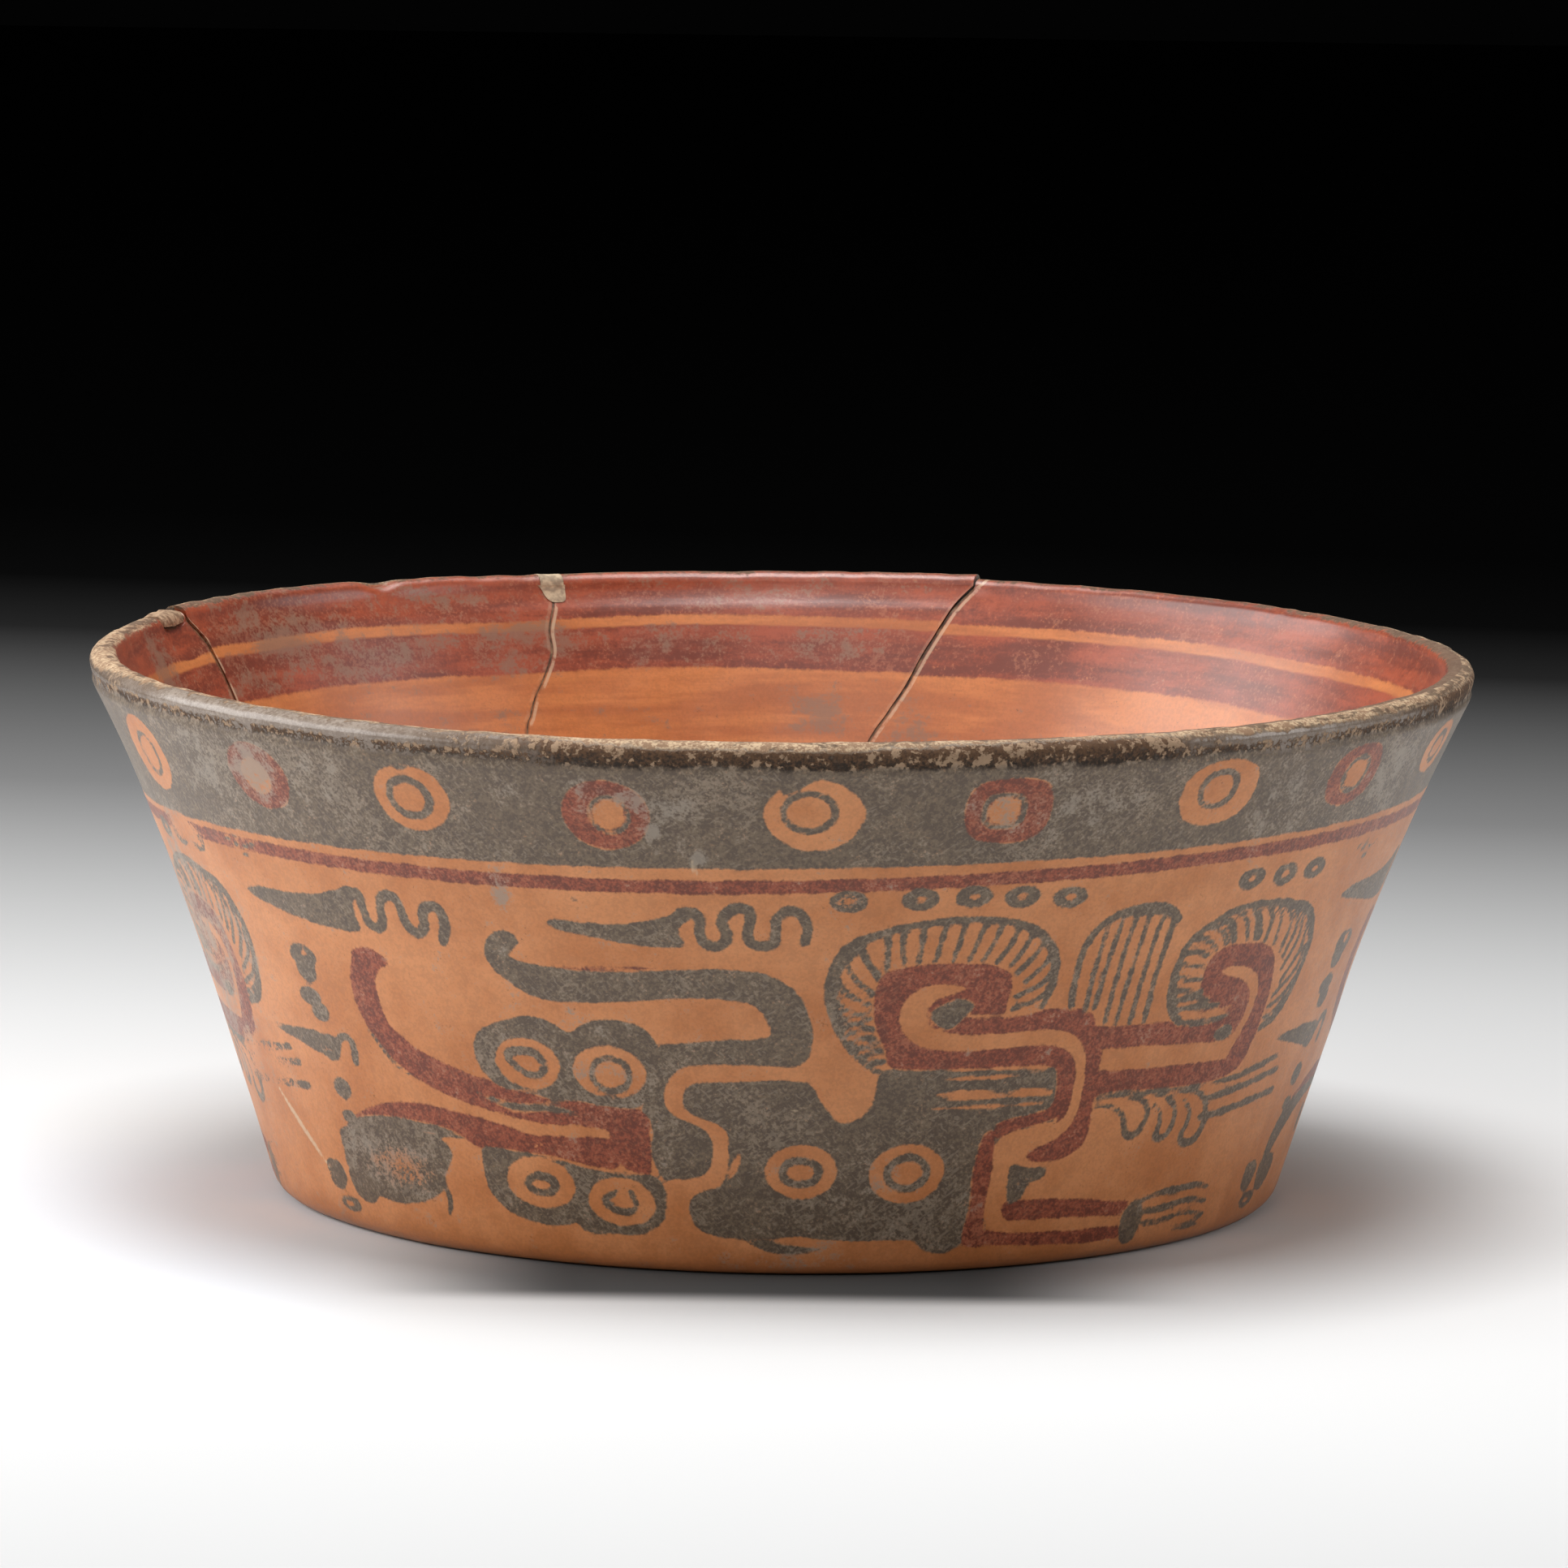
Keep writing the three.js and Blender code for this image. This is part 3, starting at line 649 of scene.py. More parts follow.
ONCE = (
    stroke(K, (1.4, 2.0, 1.5), 0.5, 8.0, 1.2, 7.0, 2.3, 6.0),
    stroke(K, (0.4, 1.0, 0.4), -32.6, 6.2, -31.6, 6.8, -30.4, 6.4),
    area(K, -52.5, 76, -49, 73.9, -44, 73.2, -38, 73.2, -35.6, 76, -37, 80, -38.6, 84, -43, 86.4, -48.4, 86,
         -52.0, 81.4),
)


@dataclass(frozen=True)
class Frieze:
    """The painting round the outside: a black band with discs, a red line and three long figures.

    The band reaches over the lip, so it starts above the rim. The copies of the figure drift a little,
    as noise of two sizes, each in degrees and millimetres, moves them round and down the wall.
    """

    band_top: float = -2.0
    band_foot: float = 22.2
    band_drop: float = 2.0
    line_gap: float = 1.6
    line_width: float = 2.4
    line_sway: float = 0.5
    line_turn: float = math.radians(8)
    reach: float = 3.0
    copies: int = 3
    drift: float = 0.5
    drift_round: Place = (24, 30)
    drift_down: Place = (18, 22)
    seeds: tuple[int, int] = (5, 15)

    def paint(self, around: Array, slant: Array) -> dict[str, Array]:
        """Distances in millimetres to the black and the red paint, negative where it lies.

        A mark takes the lower of its own distance and the one before for its own slip, and pushes the
        other slips away by the higher of their distance and its own one turned round.

        Args:
            around: Angles of the places in degrees.
            slant: Millimetres below the rim.

        Returns:
            The fields "ink", "red" and "bare".
        """
        angle = np.radians(around)
        foot = self.band_foot - self.band_drop * np.sin(angle)
        top = foot + self.line_gap + self.line_sway * np.cos(3 * (angle + self.line_turn))
        ink = np.maximum(self.band_top - slant, slant - foot)
        red = np.maximum(top - slant, slant - top - self.line_width)
        bare = np.full_like(slant, self.reach)
        layers = {Slip.BLACK: ink, Slip.RED: red}
        for copy in range(self.copies):
            turn = 360 / self.copies * copy
            shake = self.drift if copy else 0.0
            local = around - turn + shake * ripple(around, slant, self.drift_round, self.seeds[0] + copy)
            level = slant + shake * ripple(around, slant, self.drift_down, self.seeds[1] + copy)
            for mark in FIGURE:
                self.lay(layers, mark, local, level)
        for disc in DISCS:
            for mark in disc.marks():
                self.lay(layers, mark, around, slant)
        for mark in ONCE:
            self.lay(layers, mark, around, slant)
        for mark in SCRATCHES:
            self.lay({Slip.RED: bare}, Mark(Slip.RED, mark.points, mark.width), around, slant)
        return {"ink": ink, "red": red, "bare": bare}

    def lay(self, layers: dict[Slip, Array], mark: Mark, around: Array, slant: Array) -> None:
        """Lays one mark on the fields, only where the wall is within reach of it.

        Args:
            layers: One field for each slip, changed in place.
            mark: The mark.
            around: Angles of the places.
            slant: Slants of the places.
        """
        left, top = np.min(mark.points, axis=0)
        right, foot = np.max(mark.points, axis=0)
        middle, half = (left + right) / 2, (right - left) / 2
        margin = self.reach + np.max(mark.width)
        turned = np.mod(around - middle + 180, 360) - 180
        beside = np.abs(turned) < half + margin / DEGREE_LENGTH
        near = beside & (slant > top - margin) & (slant < foot + margin)
        if not near.any():
            return
        gap = mark.distance(turned[near] + middle, slant[near])
        for slip, layer in layers.items():
            if slip is mark.slip:
                layer[near] = np.minimum(layer[near], gap)
            else:
                layer[near] = np.maximum(layer[near], -gap)


# The old breaks, as angle and share of the height above the foot

LEFT = ((248, 1.06), (247.5, 1), (245.5, 0.946), (244.8, 0.893), (244.4, 0.84), (243.5, 0.6),
        (242.5, 0.317))
CENTRE = ((201, 1.06), (201.2, 1), (201.7, 0.946), (202.6, 0.893), (202.7, 0.85), (204, 0.8), (205.2, 0.765),
          (206, 0.73), (206.8, 0.685), (208.4, 0.45), (209.5, 0.25))
RIGHT = ((160.3, 1.06), (161.5, 1), (163.6, 0.946), (165, 0.893), (166.3, 0.84), (167.5, 0.787),
         (169.1, 0.733), (170.8, 0.68), (175.6, 0.5), (179, 0.36))
LOWER_CENTRE = ((179, 0.36), (190, 0.325), (200, 0.285), (209.5, 0.25))
LOWER_LEFT = ((209.5, 0.25), (218, 0.215), (230, 0.27), (242.5, 0.317))


@dataclass(frozen=True)
class Break:
    """An old break in the wall, with the gap that the glue fills.

    The crumbs of its edges are noise that runs so many degrees and millimetres from the foot to the rim.
    """

    name: str
    points: tuple[Place, ...]
    upright: bool
    gap: float = 0.09
    crumble: float = 0.14
    crumb_run: Place = (90, 40)
    crumb_size: Place = (3, 2)
    crumb_seed: int = 31

    def line(self) -> Array:
        """The smooth course of the break as angle and share of the height."""
        return spline(np.array(self.points), 8)

    def angle_at(self, share: Array) -> Array:
        """Angle of an upright break at a share of the height."""
        line = self.line()[::-1]
        return np.interp(share, line[:, 1], line[:, 0])

    def share_at(self, around: Array) -> Array:
        """Share of the height of a level break at an angle."""
        line = self.line()
        return np.interp(around, line[:, 0], line[:, 1])

    def edge(self, along: Array, side: int) -> Array:
        """Millimetres from the break to the clay on one side: the gap and the crumbs of the edge.

        Args:
            along: Shares of the height.
            side: 1 for the clay of the main body, -1 for that of a sherd.

        Returns:
            The distances.
        """
        run = (along * length for length in self.crumb_run)
        return self.gap + self.crumble * np.abs(ripple(*run, self.crumb_size, self.crumb_seed + side))


LEFT_BREAK = Break("left", LEFT, True)
CENTRE_BREAK = Break("centre", CENTRE, True)
RIGHT_BREAK = Break("right", RIGHT, True)
LOWER_CENTRE_BREAK = Break("lower_centre", LOWER_CENTRE, False)
LOWER_LEFT_BREAK = Break("lower_left", LOWER_LEFT, False)
BREAKS = (LEFT_BREAK, CENTRE_BREAK, RIGHT_BREAK, LOWER_CENTRE_BREAK, LOWER_LEFT_BREAK)


def level_of(share: Array) -> Array:
    """Height in millimetres from the share between the foot level and the rim."""
    return FORM.foot_level + share * (FORM.height - FORM.foot_level)


def share_of(z: Array) -> Array:
    """Share of the way from the foot level to the rim."""
    return (z - FORM.foot_level) / (FORM.height - FORM.foot_level)


def lower_share(around: Array) -> Array:
    """Share of the height of the break under the two back sherds, held level beyond its ends."""
    centre = LOWER_CENTRE_BREAK.share_at(around)
    return np.where(around < LOWER_LEFT[0][0], centre, LOWER_LEFT_BREAK.share_at(around))


# Solid walls made of points in three directions

class Solid:
    """Points with their place on the bowl, and the faces between them.

    Each point has six numbers: x, y, z in millimetres, the angle, the slant and the share of the way
    from the outer face (0) to the inner face (1).
    """

    def __init__(self) -> None:
        """Starts empty."""
        self.points: list[Array] = []
        self.faces: list[Array] = []
        self.count = 0

    def add(self, points: Array) -> Array:
        """Takes in points.

        Args:
            points: The six numbers of each point, in a grid of any shape.

        Returns:
            The number of each point, in the same grid.
        """
        flat = points.reshape(-1, 6)
        ids = np.arange(self.count, self.count + len(flat)).reshape(points.shape[:-1])
        self.points.append(flat)
        self.count += len(flat)
        return ids

    def sheet(self, ids: Array) -> None:
        """Four-sided faces between the points of a grid."""
        quads = np.stack([ids[:-1, :-1], ids[1:, :-1], ids[1:, 1:], ids[:-1, 1:]], axis=-1)
        self.faces.append(quads.reshape(-1, 4))

    def seam(self, fine: Array, coarse: Array) -> None:
        """Three triangles for each pair of fine pieces that meet one coarse piece.

        Args:
            fine: Numbers of the points on the fine side.
            coarse: Numbers of the points on the coarse side.
        """
        a, b, c = fine[:-1:2], fine[1::2], fine[2::2]
        d, e = coarse[:-1], coarse[1:]
        for triangle in ((a, b, d), (b, e, d), (b, c, e)):
            corners = np.stack(triangle, axis=-1)
            self.faces.append(np.column_stack([corners, corners[:, 2]]))

    def bridge(self, first: Array, second: Array) -> None:
        """Joins two lines of points that have as many pieces each, or twice as many on one side.

        Args:
            first: Numbers of the points of one line.
            second: Numbers of the points of the other line.
        """
        if len(first) == len(second):
            self.sheet(np.stack([first, second]))
        elif len(first) > len(second):
            self.seam(first, second)
        else:
            self.seam(second, first)

    def fan(self, rim: Array, centre: int) -> None:
        """Triangles from a line of points to one point."""
        middle = np.full(len(rim) - 1, centre)
        self.faces.append(np.stack([rim[:-1], rim[1:], middle, middle], axis=-1))

    def build(self, name: str) -> Made:
        """Makes the mesh in metres, with every face turned outwards.

        Args:
            name: Name of the piece.

        Returns:
            The object, and the six numbers of each of its points.
        """
        points, faces = np.vstack(self.points), np.vstack(self.faces)
        used, numbers = np.unique(faces, return_inverse=True)
        points, faces = points[used], numbers.reshape(faces.shape)
        triangle = faces[:, 2] == faces[:, 3]
        sizes = np.where(triangle, 3, 4)
        corners = faces[np.arange(4) < sizes[:, None]]
        mesh = bpy.data.meshes.new(name)
        mesh.vertices.add(len(points))
        mesh.vertices.foreach_set("co", (points[:, :3] * MM).ravel())
        mesh.loops.add(len(corners))
        mesh.loops.foreach_set("vertex_index", corners)
        mesh.polygons.add(len(faces))
        mesh.polygons.foreach_set("loop_start", np.concatenate([[0], np.cumsum(sizes)[:-1]]))
        mesh.update(calc_edges=True)
        mesh.validate()
        sculpt = bmesh.new()
        sculpt.from_mesh(mesh)
        bmesh.ops.recalc_face_normals(sculpt, faces=sculpt.faces)
        sculpt.to_mesh(mesh)
        sculpt.free()
        made = bpy.data.objects.new(name, mesh)
        bpy.context.scene.collection.objects.link(made)
        return made, points


def build_block(block: Array, name: str) -> Made:
    """Makes a piece of a block of points, closed on its six sides.

    Args:
        block: The six numbers of each point, by column, row and depth.
        name: Name of the piece.

    Returns:
        The object and its points.
    """
    solid = Solid()
    ids = solid.add(block)
    for sheet in (ids[0], ids[-1], ids[:, 0], ids[:, -1], ids[:, :, 0], ids[:, :, -1]):
        solid.sheet(sheet)
    return solid.build(name)


def thicken(block: Array, by: Array) -> None:
    """Moves both faces of a block away from its middle: the radius less (2 t - 1) times the way.

    Args:
        block: The six numbers of each point, changed in place.
        by: The way in millimetres, below 0 towards the middle.
    """
    radius = np.hypot(block[..., 0], block[..., 1])
    moved = radius - 2 * (block[..., 5] - 0.5) * by
    block[..., :2] *= (moved / radius)[..., None]


def lip_path(steps: int) -> Array:
    """The way over the lip from the outer to the inner face: a quarter circle, a flat and another one.

    Args:
        steps: Number of pieces. The flat takes two of them.

    Returns:
        Rows of radius and height above the row at the foot of the rounding, from the rim radius.
    """
    arc = (steps - 2) // 2
    turn = np.linspace(0, math.pi / 2, arc + 1)
    edge, back = FORM.lip_edge, turn[::-1]
    outer = np.column_stack([edge * np.cos(turn) - edge, edge * np.sin(turn)])
    inner = np.column_stack([-FORM.lip_thickness + edge - edge * np.cos(back), edge * np.sin(back)])
    middle = (outer[-1] + inner[0]) / 2
    return np.vstack([outer, middle, inner])


def wall(around: Array, z: Array, across: int, lip: bool = True) -> Array:
    """Points of a piece of wall from its outer to its inner face.

    Args:
        around: Angles in degrees for each column and row.
        z: Heights in millimetres for each column and row.
        across: Pieces between the faces.
        lip: Whether the last row goes over the lip.

    Returns:
        The six numbers of each point, by column, row and depth.
    """
    t = np.arange(across + 1) / across
    radius = FORM.outer_radius(z)[..., None] * (1 - t) + FORM.inner_radius(z)[..., None] * t
    height = np.repeat(z[..., None], across + 1, axis=2)
    slant = FORM.slant(z)[..., None] * (1 - t) + FORM.slant(z, True)[..., None] * t
    if lip:
        path = lip_path(across)
        radius[:, -1] = FORM.rim_radius + path[:, 0]
        height[:, -1] = z[:, -1, None] + path[:, 1]
        slant[:, -1] = np.minimum(slant[:, -1], FORM.lip_edge) * (1 - path[:, 1] / FORM.lip_edge)
    angle = np.repeat(around[..., None], across + 1, axis=2)
    side = np.broadcast_to(t, radius.shape)
    turn = np.radians(angle)
    return np.stack([radius * np.sin(turn), -radius * np.cos(turn), height, angle, slant, side], axis=-1)


@dataclass(frozen=True)
class Hand:
    """What the potter's hand and long use left on the form: waves, a swollen roll, a worn lip, a chip.

    A noise has its size, its spacing in degrees and millimetres, and its seed. The dents, and the depth
    of the chip, have a size outside and one inside. The roll and the groove have a slant and a width.
    """

    out_of_round: Waves = ((0.25, 2, 0.8), (0.15, 3, 2.1))
    rim_waves: Waves = ((0.22, 2, -0.4), (0.12, 5, 1))
    lumps: Noise = (0.16, (14, 16), 71)
    dents: tuple[Place, Place, int] = ((0.05, 0.22), (6, 9), 72)
    roll_height: float = 0.24
    roll: Place = (1.9, 1.1)
    groove: Place = (4.1, 0.8)
    roll_from: Place = (9, 6)
    worn_from: Place = (3.2, 0.4)
    nibbles: Noise = (0.14, (2.2, 40), 73)
    dips: Noise = (0.12, (7, 40), 74)
    wear: float = 0.13
    chip: Place = (219, 1.7)
    chip_depth: Place = (0.4, 1.1)
    lumps_from: Place = (20, 70)

    def leave(self, points: Array, lift: Array | float = 0.0) -> Array:
        """Moves points by a few tenths of a millimetre: the radius by the swell, the height by the rise.

        Args:
            points: The six numbers of each point.
            lift: Millimetres by which the place stands high at the rim.

        Returns:
            The moved points.
        """
        x, y, z, around, slant, side = np.moveaxis(points, -1, 0)
        angle = np.radians(around)
        up = np.clip(z / FORM.height, 0, 1)
        radius = np.hypot(x, y)
        open_wall = smooth(radius, *self.lumps_from)
        outer_dent, inner_dent = self.dents[0]
        swell = waves(angle, self.out_of_round) * up**2
        swell += self.lumps[0] * ripple(around, slant, *self.lumps[1:]) * open_wall
        dents = np.where(side > 0.5, inner_dent, outer_dent) * ripple(around, slant, *self.dents[1:])
        swell += dents * open_wall
        roll = self.roll_height * bell(slant, *self.roll) - self.roll_height * bell(slant, *self.groove)
        swell += roll * (1 - smooth(side, 0.0, 0.4)) * self.towards_rim(z, self.roll_from)
        worn = self.nibbles[0] * ripple(around, slant, *self.nibbles[1:])
        worn = worn + self.dips[0] * ripple(around, slant, *self.dips[1:])
        chip = bell(around, *self.chip) * np.where(side > 0.45, self.chip_depth[1], self.chip_depth[0])
        rise = (waves(angle, self.rim_waves) + lift) * up**3
        rise = rise - (self.wear + np.abs(worn) + chip) * self.towards_rim(z, self.worn_from)
        scale = (radius + swell) / np.maximum(radius, 1e-6)
        return np.stack([x * scale, y * scale, z + rise, around, slant, side], axis=-1)

    def towards_rim(self, z: Array, below: Place) -> Array:
        """Smooth step from 0 to 1 between two places given in millimetres below the rim."""
        return smooth(z, FORM.height - below[0], FORM.height - below[1])


HAND = Hand()


@dataclass(frozen=True)
class MainBody:
    """The large piece: base, front and sides, with the window that the two back sherds fill."""

    node: str = "main_body"
    front: int = 348
    right: int = 204
    window: int = 116
    left: int = 92
    rows: int = 112
    low_rows: int = 32
    inner_rows: int = 24
    across: int = 10
    crowd: float = 1.12
    front_half: float = 66.0
    fine_share: float = 0.30
    level_ease: float = 40.0
    right_ease: float = 60.0
    left_ease: float = 40.0
    base_steps: int = 5
    base_rings: int = 16
    base_hollow: float = 0.25
    base_edge_lift: float = 0.06
    floor_steps: int = 6
    floor_rings: int = 17
    fill_half: float = 5.0
    fill_depth: float = 2.0
    fill_from: Place = (9, 2)

    def columns(self) -> Array:
        """Places the columns, closest together on the painted front.

        Returns:
            Their angles.
        """
        half = self.front_half
        stops = (-half, half, RIGHT[-1][0], LEFT[-1][0], 360 - half)
        counts = (self.front, self.right, self.window, self.left)
        return np.concatenate(
            [np.linspace(a, b, n, endpoint=False) for a, b, n in zip(stops, stops[1:], counts, strict=False)]
        )

    def grid(self) -> tuple[Array, Array]:
        """Places the columns and rows, drawn towards the breaks beside the window.

        Returns:
            The angle and the height of each column and row.
        """
        columns = self.columns()
        left_foot, right_foot = LEFT[-1], RIGHT[-1]
        fade = 1 - smooth(np.maximum(right_foot[0] - columns, columns - left_foot[0]), 0, self.level_ease)
        window_foot = lower_share(np.clip(columns, right_foot[0], left_foot[0]))
        split = self.fine_share + (window_foot - self.fine_share) * fade
        split = split - BED_GAP / FORM.height * fade
        top = share_of(FORM.height - FORM.lip_edge)
        low = np.linspace(0, 1, self.low_rows + 1)[:-1]
        high = 1 - np.linspace(1, 0, self.rows - self.low_rows + 1) ** self.crowd
        share = np.concatenate(
            [split[:, None] * low, split[:, None] + (top - split[:, None]) * high], axis=1
        )
        per_degree = math.radians(1) * FORM.outer_radius(level_of(share))
        right_edge = RIGHT_BREAK.angle_at(share) - right_foot[0] - RIGHT_BREAK.edge(share, 1) / per_degree
        left_edge = LEFT_BREAK.angle_at(share) - left_foot[0] + LEFT_BREAK.edge(share, 1) / per_degree
        above = share >= split[:, None] - 1e-9
        before = (columns <= right_foot[0]) * (1 - smooth(right_foot[0] - columns, 0, self.right_ease))
        after = (columns >= left_foot[0]) * (1 - smooth(columns - left_foot[0], 0, self.left_ease))
        around = columns[:, None] + above * (before[:, None] * right_edge + after[:, None] * left_edge)
        return around, level_of(share)

    def build(self) -> Made:
        """Builds the piece.

        Returns:
            The object and its points.
        """
        around, z = self.grid()
        block = HAND.leave(wall(around, z, self.across))
        offset = (block[..., 3] - LEFT_FILL_ANGLE) * math.radians(1) * FORM.rim_radius / self.fill_half
        inside_bite = (np.abs(offset) < 1) & (block[..., 3] > LEFT[1][0] - 0.2)
        bite = self.fill_depth * np.sqrt(np.clip(1 - offset**2, 0, 1)) * inside_bite
        block[..., 2] -= bite * HAND.towards_rim(block[..., 2], self.fill_from)
        solid = Solid()
        ids = solid.add(block)
        ids = np.concatenate([ids, ids[:1]])
        start, end = self.front + self.right, self.front + self.right + self.window
        low, rows = self.low_rows, self.rows
        solid.sheet(ids[: start + 1, :, 0])
        solid.sheet(ids[end:, :, 0])
        solid.sheet(ids[start : end + 1, : low + 1, 0])
        inner = ids[::4, ::4, -1]
        foot = self.inner_rows // 4
        solid.sheet(inner[: start // 4 + 1, foot:])
        solid.sheet(inner[end // 4 :, foot:])
        solid.sheet(inner[start // 4 : end // 4 + 1, foot : low // 4 + 1])
        strides = [1] * (self.across - 1) + [2, 4]
        for line in (ids[: start + 1, rows], ids[end:, rows], ids[start : end + 1, low],
                     ids[start, low:], ids[end, low:]):
            for k in range(self.across):
                solid.bridge(line[:: strides[k], k], line[:: strides[k + 1], k + 1])
        self.close_base(solid, ids[:, 0, 0])
        self.close_floor(solid, inner[:, foot])
        return solid.build(f"visual_{self.node}")

    def close_base(self, solid: Solid, ring: Array) -> None:
        """Adds the rounded edge of the base and the underside, in rings that close on the centre.

        Args:
            solid: The solid to add to.
            ring: Point numbers along the foot of the wall, first and last the same.
        """
        corner = (float(FORM.outer_radius(np.array(0.0))), 0.0)
        bend = corner_curve(
            (FORM.foot_radius, FORM.foot_level), corner, (FORM.base_radius, 0.0), self.base_steps
        )
        reach = FORM.base_radius * np.linspace(0.97, 0.06, self.base_rings)
        flat = np.column_stack([reach, np.full(self.base_rings, self.base_hollow)])
        flat[0, 1] = self.base_edge_lift
        self.rings(solid, ring, np.vstack([bend, flat]), 0.0, (1, 1, 2, 2, 4))

    def close_floor(self, solid: Solid, ring: Array) -> None:
        """Adds the inner corner and the floor of the bowl, in rings that close on the centre.

        Args:
            solid: The solid to add to.
            ring: Point numbers along the foot of the inner wall, first and last the same.
        """
        start = float(level_of(np.array(self.fine_share * self.inner_rows / self.low_rows)))
        high = float(FORM.inner_radius(np.array(start)))
        low = float(FORM.inner_radius(np.array(FORM.floor)))
        end = (low - FORM.inner_corner, FORM.floor)
        bend = corner_curve((high, start), (low, FORM.floor), end, self.floor_steps)
        reach = np.linspace(end[0], 3, self.floor_rings + 1)[1:]
        flat = np.column_stack([reach, np.full(self.floor_rings, FORM.floor)])
        self.rings(solid, ring, np.vstack([bend, flat]), 1.0, (1,))

    def rings(self, solid: Solid, ring: Array, path: Array, side: float, strides: tuple[int, ...]) -> None:
        """Adds rings along a path of radius and height, each joined to the one before.

        Args:
            solid: The solid to add to.
            ring: Point numbers of the first line.
            path: Radius and height of each new ring.
            side: 0 for the outer face, 1 for the inner face.
            strides: Columns skipped on the first rings. The last number holds for the rest.
        """
        columns = np.append(self.columns(), self.columns()[0] + 360)
        columns = columns[:: (len(columns) - 1) // (len(ring) - 1)]
        slant = FORM.slant(path[:, 1].clip(0), side > 0.5)
        slant = slant + np.concatenate([[0], np.cumsum(np.abs(np.diff(path[:, 0])))])
        before = ring
        for number, (radius, height) in enumerate(path):
            stride = strides[min(number, len(strides) - 1)]
            angles = columns[::stride][:-1]
            turn = np.radians(angles)
            points = np.stack(
                [radius * np.sin(turn), -radius * np.cos(turn), np.full_like(turn, height), angles,
                 np.full_like(turn, slant[number]), np.full_like(turn, side)], axis=-1)
            points = HAND.leave(points)
            if not side:
                points[:, 2] = np.maximum(points[:, 2], 0)
            ids = solid.add(points)
            ids = np.append(ids, ids[0])
            solid.bridge(before, ids)
            before = ids
        centre = solid.add(np.array([[0, 0, path[-1, 1], 0, slant[-1], side]]))
        solid.fan(before, int(centre[0]))


@dataclass(frozen=True)
class Sherd:
    """A loose piece of the back wall between two upright breaks, standing on a lower one."""

    node: str
    first: Break
    last: Break
    columns: int
    rows: int = 84
    across: int = 8
    lift: float = 0.8
    lift_from: float = 0.0
    lift_to: float = 1.0
    notch_half: float = 2.42
    notch_depth: float = 4.6

    def grid(self) -> tuple[Array, Array]:
        """Places the columns and rows, in a blend between the courses of the two breaks.

        Returns:
            The angle and the height of each column and row.
        """
        a = np.linspace(0, 1, self.columns + 1)[:, None]
        up = np.linspace(0, 1, self.rows + 1)[None, :]
        foot = (1 - a) * self.first.points[-1][0] + a * self.last.points[-1][0]
        top = share_of(FORM.height - FORM.lip_edge)
        split = lower_share(foot) + BED_GAP / FORM.height
        share = split + (top - split) * up
        z = level_of(share)
        per_degree = math.radians(1) * FORM.outer_radius(z)
        start = self.first.angle_at(share) + self.first.edge(share, -1) / per_degree
        end = self.last.angle_at(share) - self.last.edge(share, -1) / per_degree
        high = (FORM.height - z) / self.notch_depth
        notch = self.notch_half * np.sqrt(np.clip(1 - high**2, 0, 1)) / per_degree
        if self.first is CENTRE_BREAK:
            start = np.where(notch > 0, np.maximum(start, CENTRE_FILL_ANGLE + notch), start)
        if self.last is CENTRE_BREAK:
            end = np.where(notch > 0, np.minimum(end, CENTRE_FILL_ANGLE - notch), end)
        return (1 - a) * start + a * end, z

    def build(self) -> Made:
        """Builds the piece.

        Returns:
            The object and its points.
        """
        share = np.linspace(self.lift_from, self.lift_to, self.columns + 1)[:, None, None]
        block = HAND.leave(wall(*self.grid(), self.across), self.lift * share)
        return build_block(block, f"visual_{self.node}")


@dataclass(frozen=True)
class GlueFilm:
    """The old adhesive in one break: a thin film, sunk a little below both faces.

    It ends a little below the lip, and in the centre break under the fill. The sink is uneven: the size,
    the spacing in degrees and millimetres and the seed of a noise.
    """

    course: Break
    steps: int = 140
    across: int = 5
    depth_steps: int = 6
    half: float = 0.35
    sink: float = 0.1
    uneven: Noise = (0.06, (1.2, 2.4), 91)
    top_gap: float = 0.35
    fill_gap: float = 4.4

    def build(self) -> Made:
        """Builds the film as a block that follows the break.

        Returns:
            The object and its points.
        """
        line = self.course.line()
        if self.course.upright:
            gap = self.fill_gap if self.course is CENTRE_BREAK else self.top_gap
            share = np.linspace(self.course.points[-1][1], 1 - gap / FORM.height, self.steps)
            angle = self.course.angle_at(share)
        else:
            angle = np.linspace(line[0, 0], line[-1, 0], self.steps)
            share = self.course.share_at(angle)
        z = level_of(share)
        offset = np.linspace(-1, 1, self.across) * self.half
        if self.course.upright:
            around = angle[:, None] + offset / (math.radians(1) * FORM.outer_radius(z)[:, None])
            height = np.repeat(z[:, None], self.across, axis=1)
        else:
            around = np.repeat(angle[:, None], self.across, axis=1)
            height = z[:, None] + offset
        block = wall(around, height, self.depth_steps, lip=False)
        over = np.clip((height - FORM.height + FORM.lip_edge) / FORM.lip_edge, 0, 0.98)
        turned = FORM.lip_edge * (1 - np.sqrt(1 - over**2))
        sink = self.sink + self.uneven[0] * ripple(around, height, *self.uneven[1:]) + turned
        thicken(block, -sink[..., None])
        return build_block(HAND.leave(block), f"visual_{self.course.name}_glue_line")


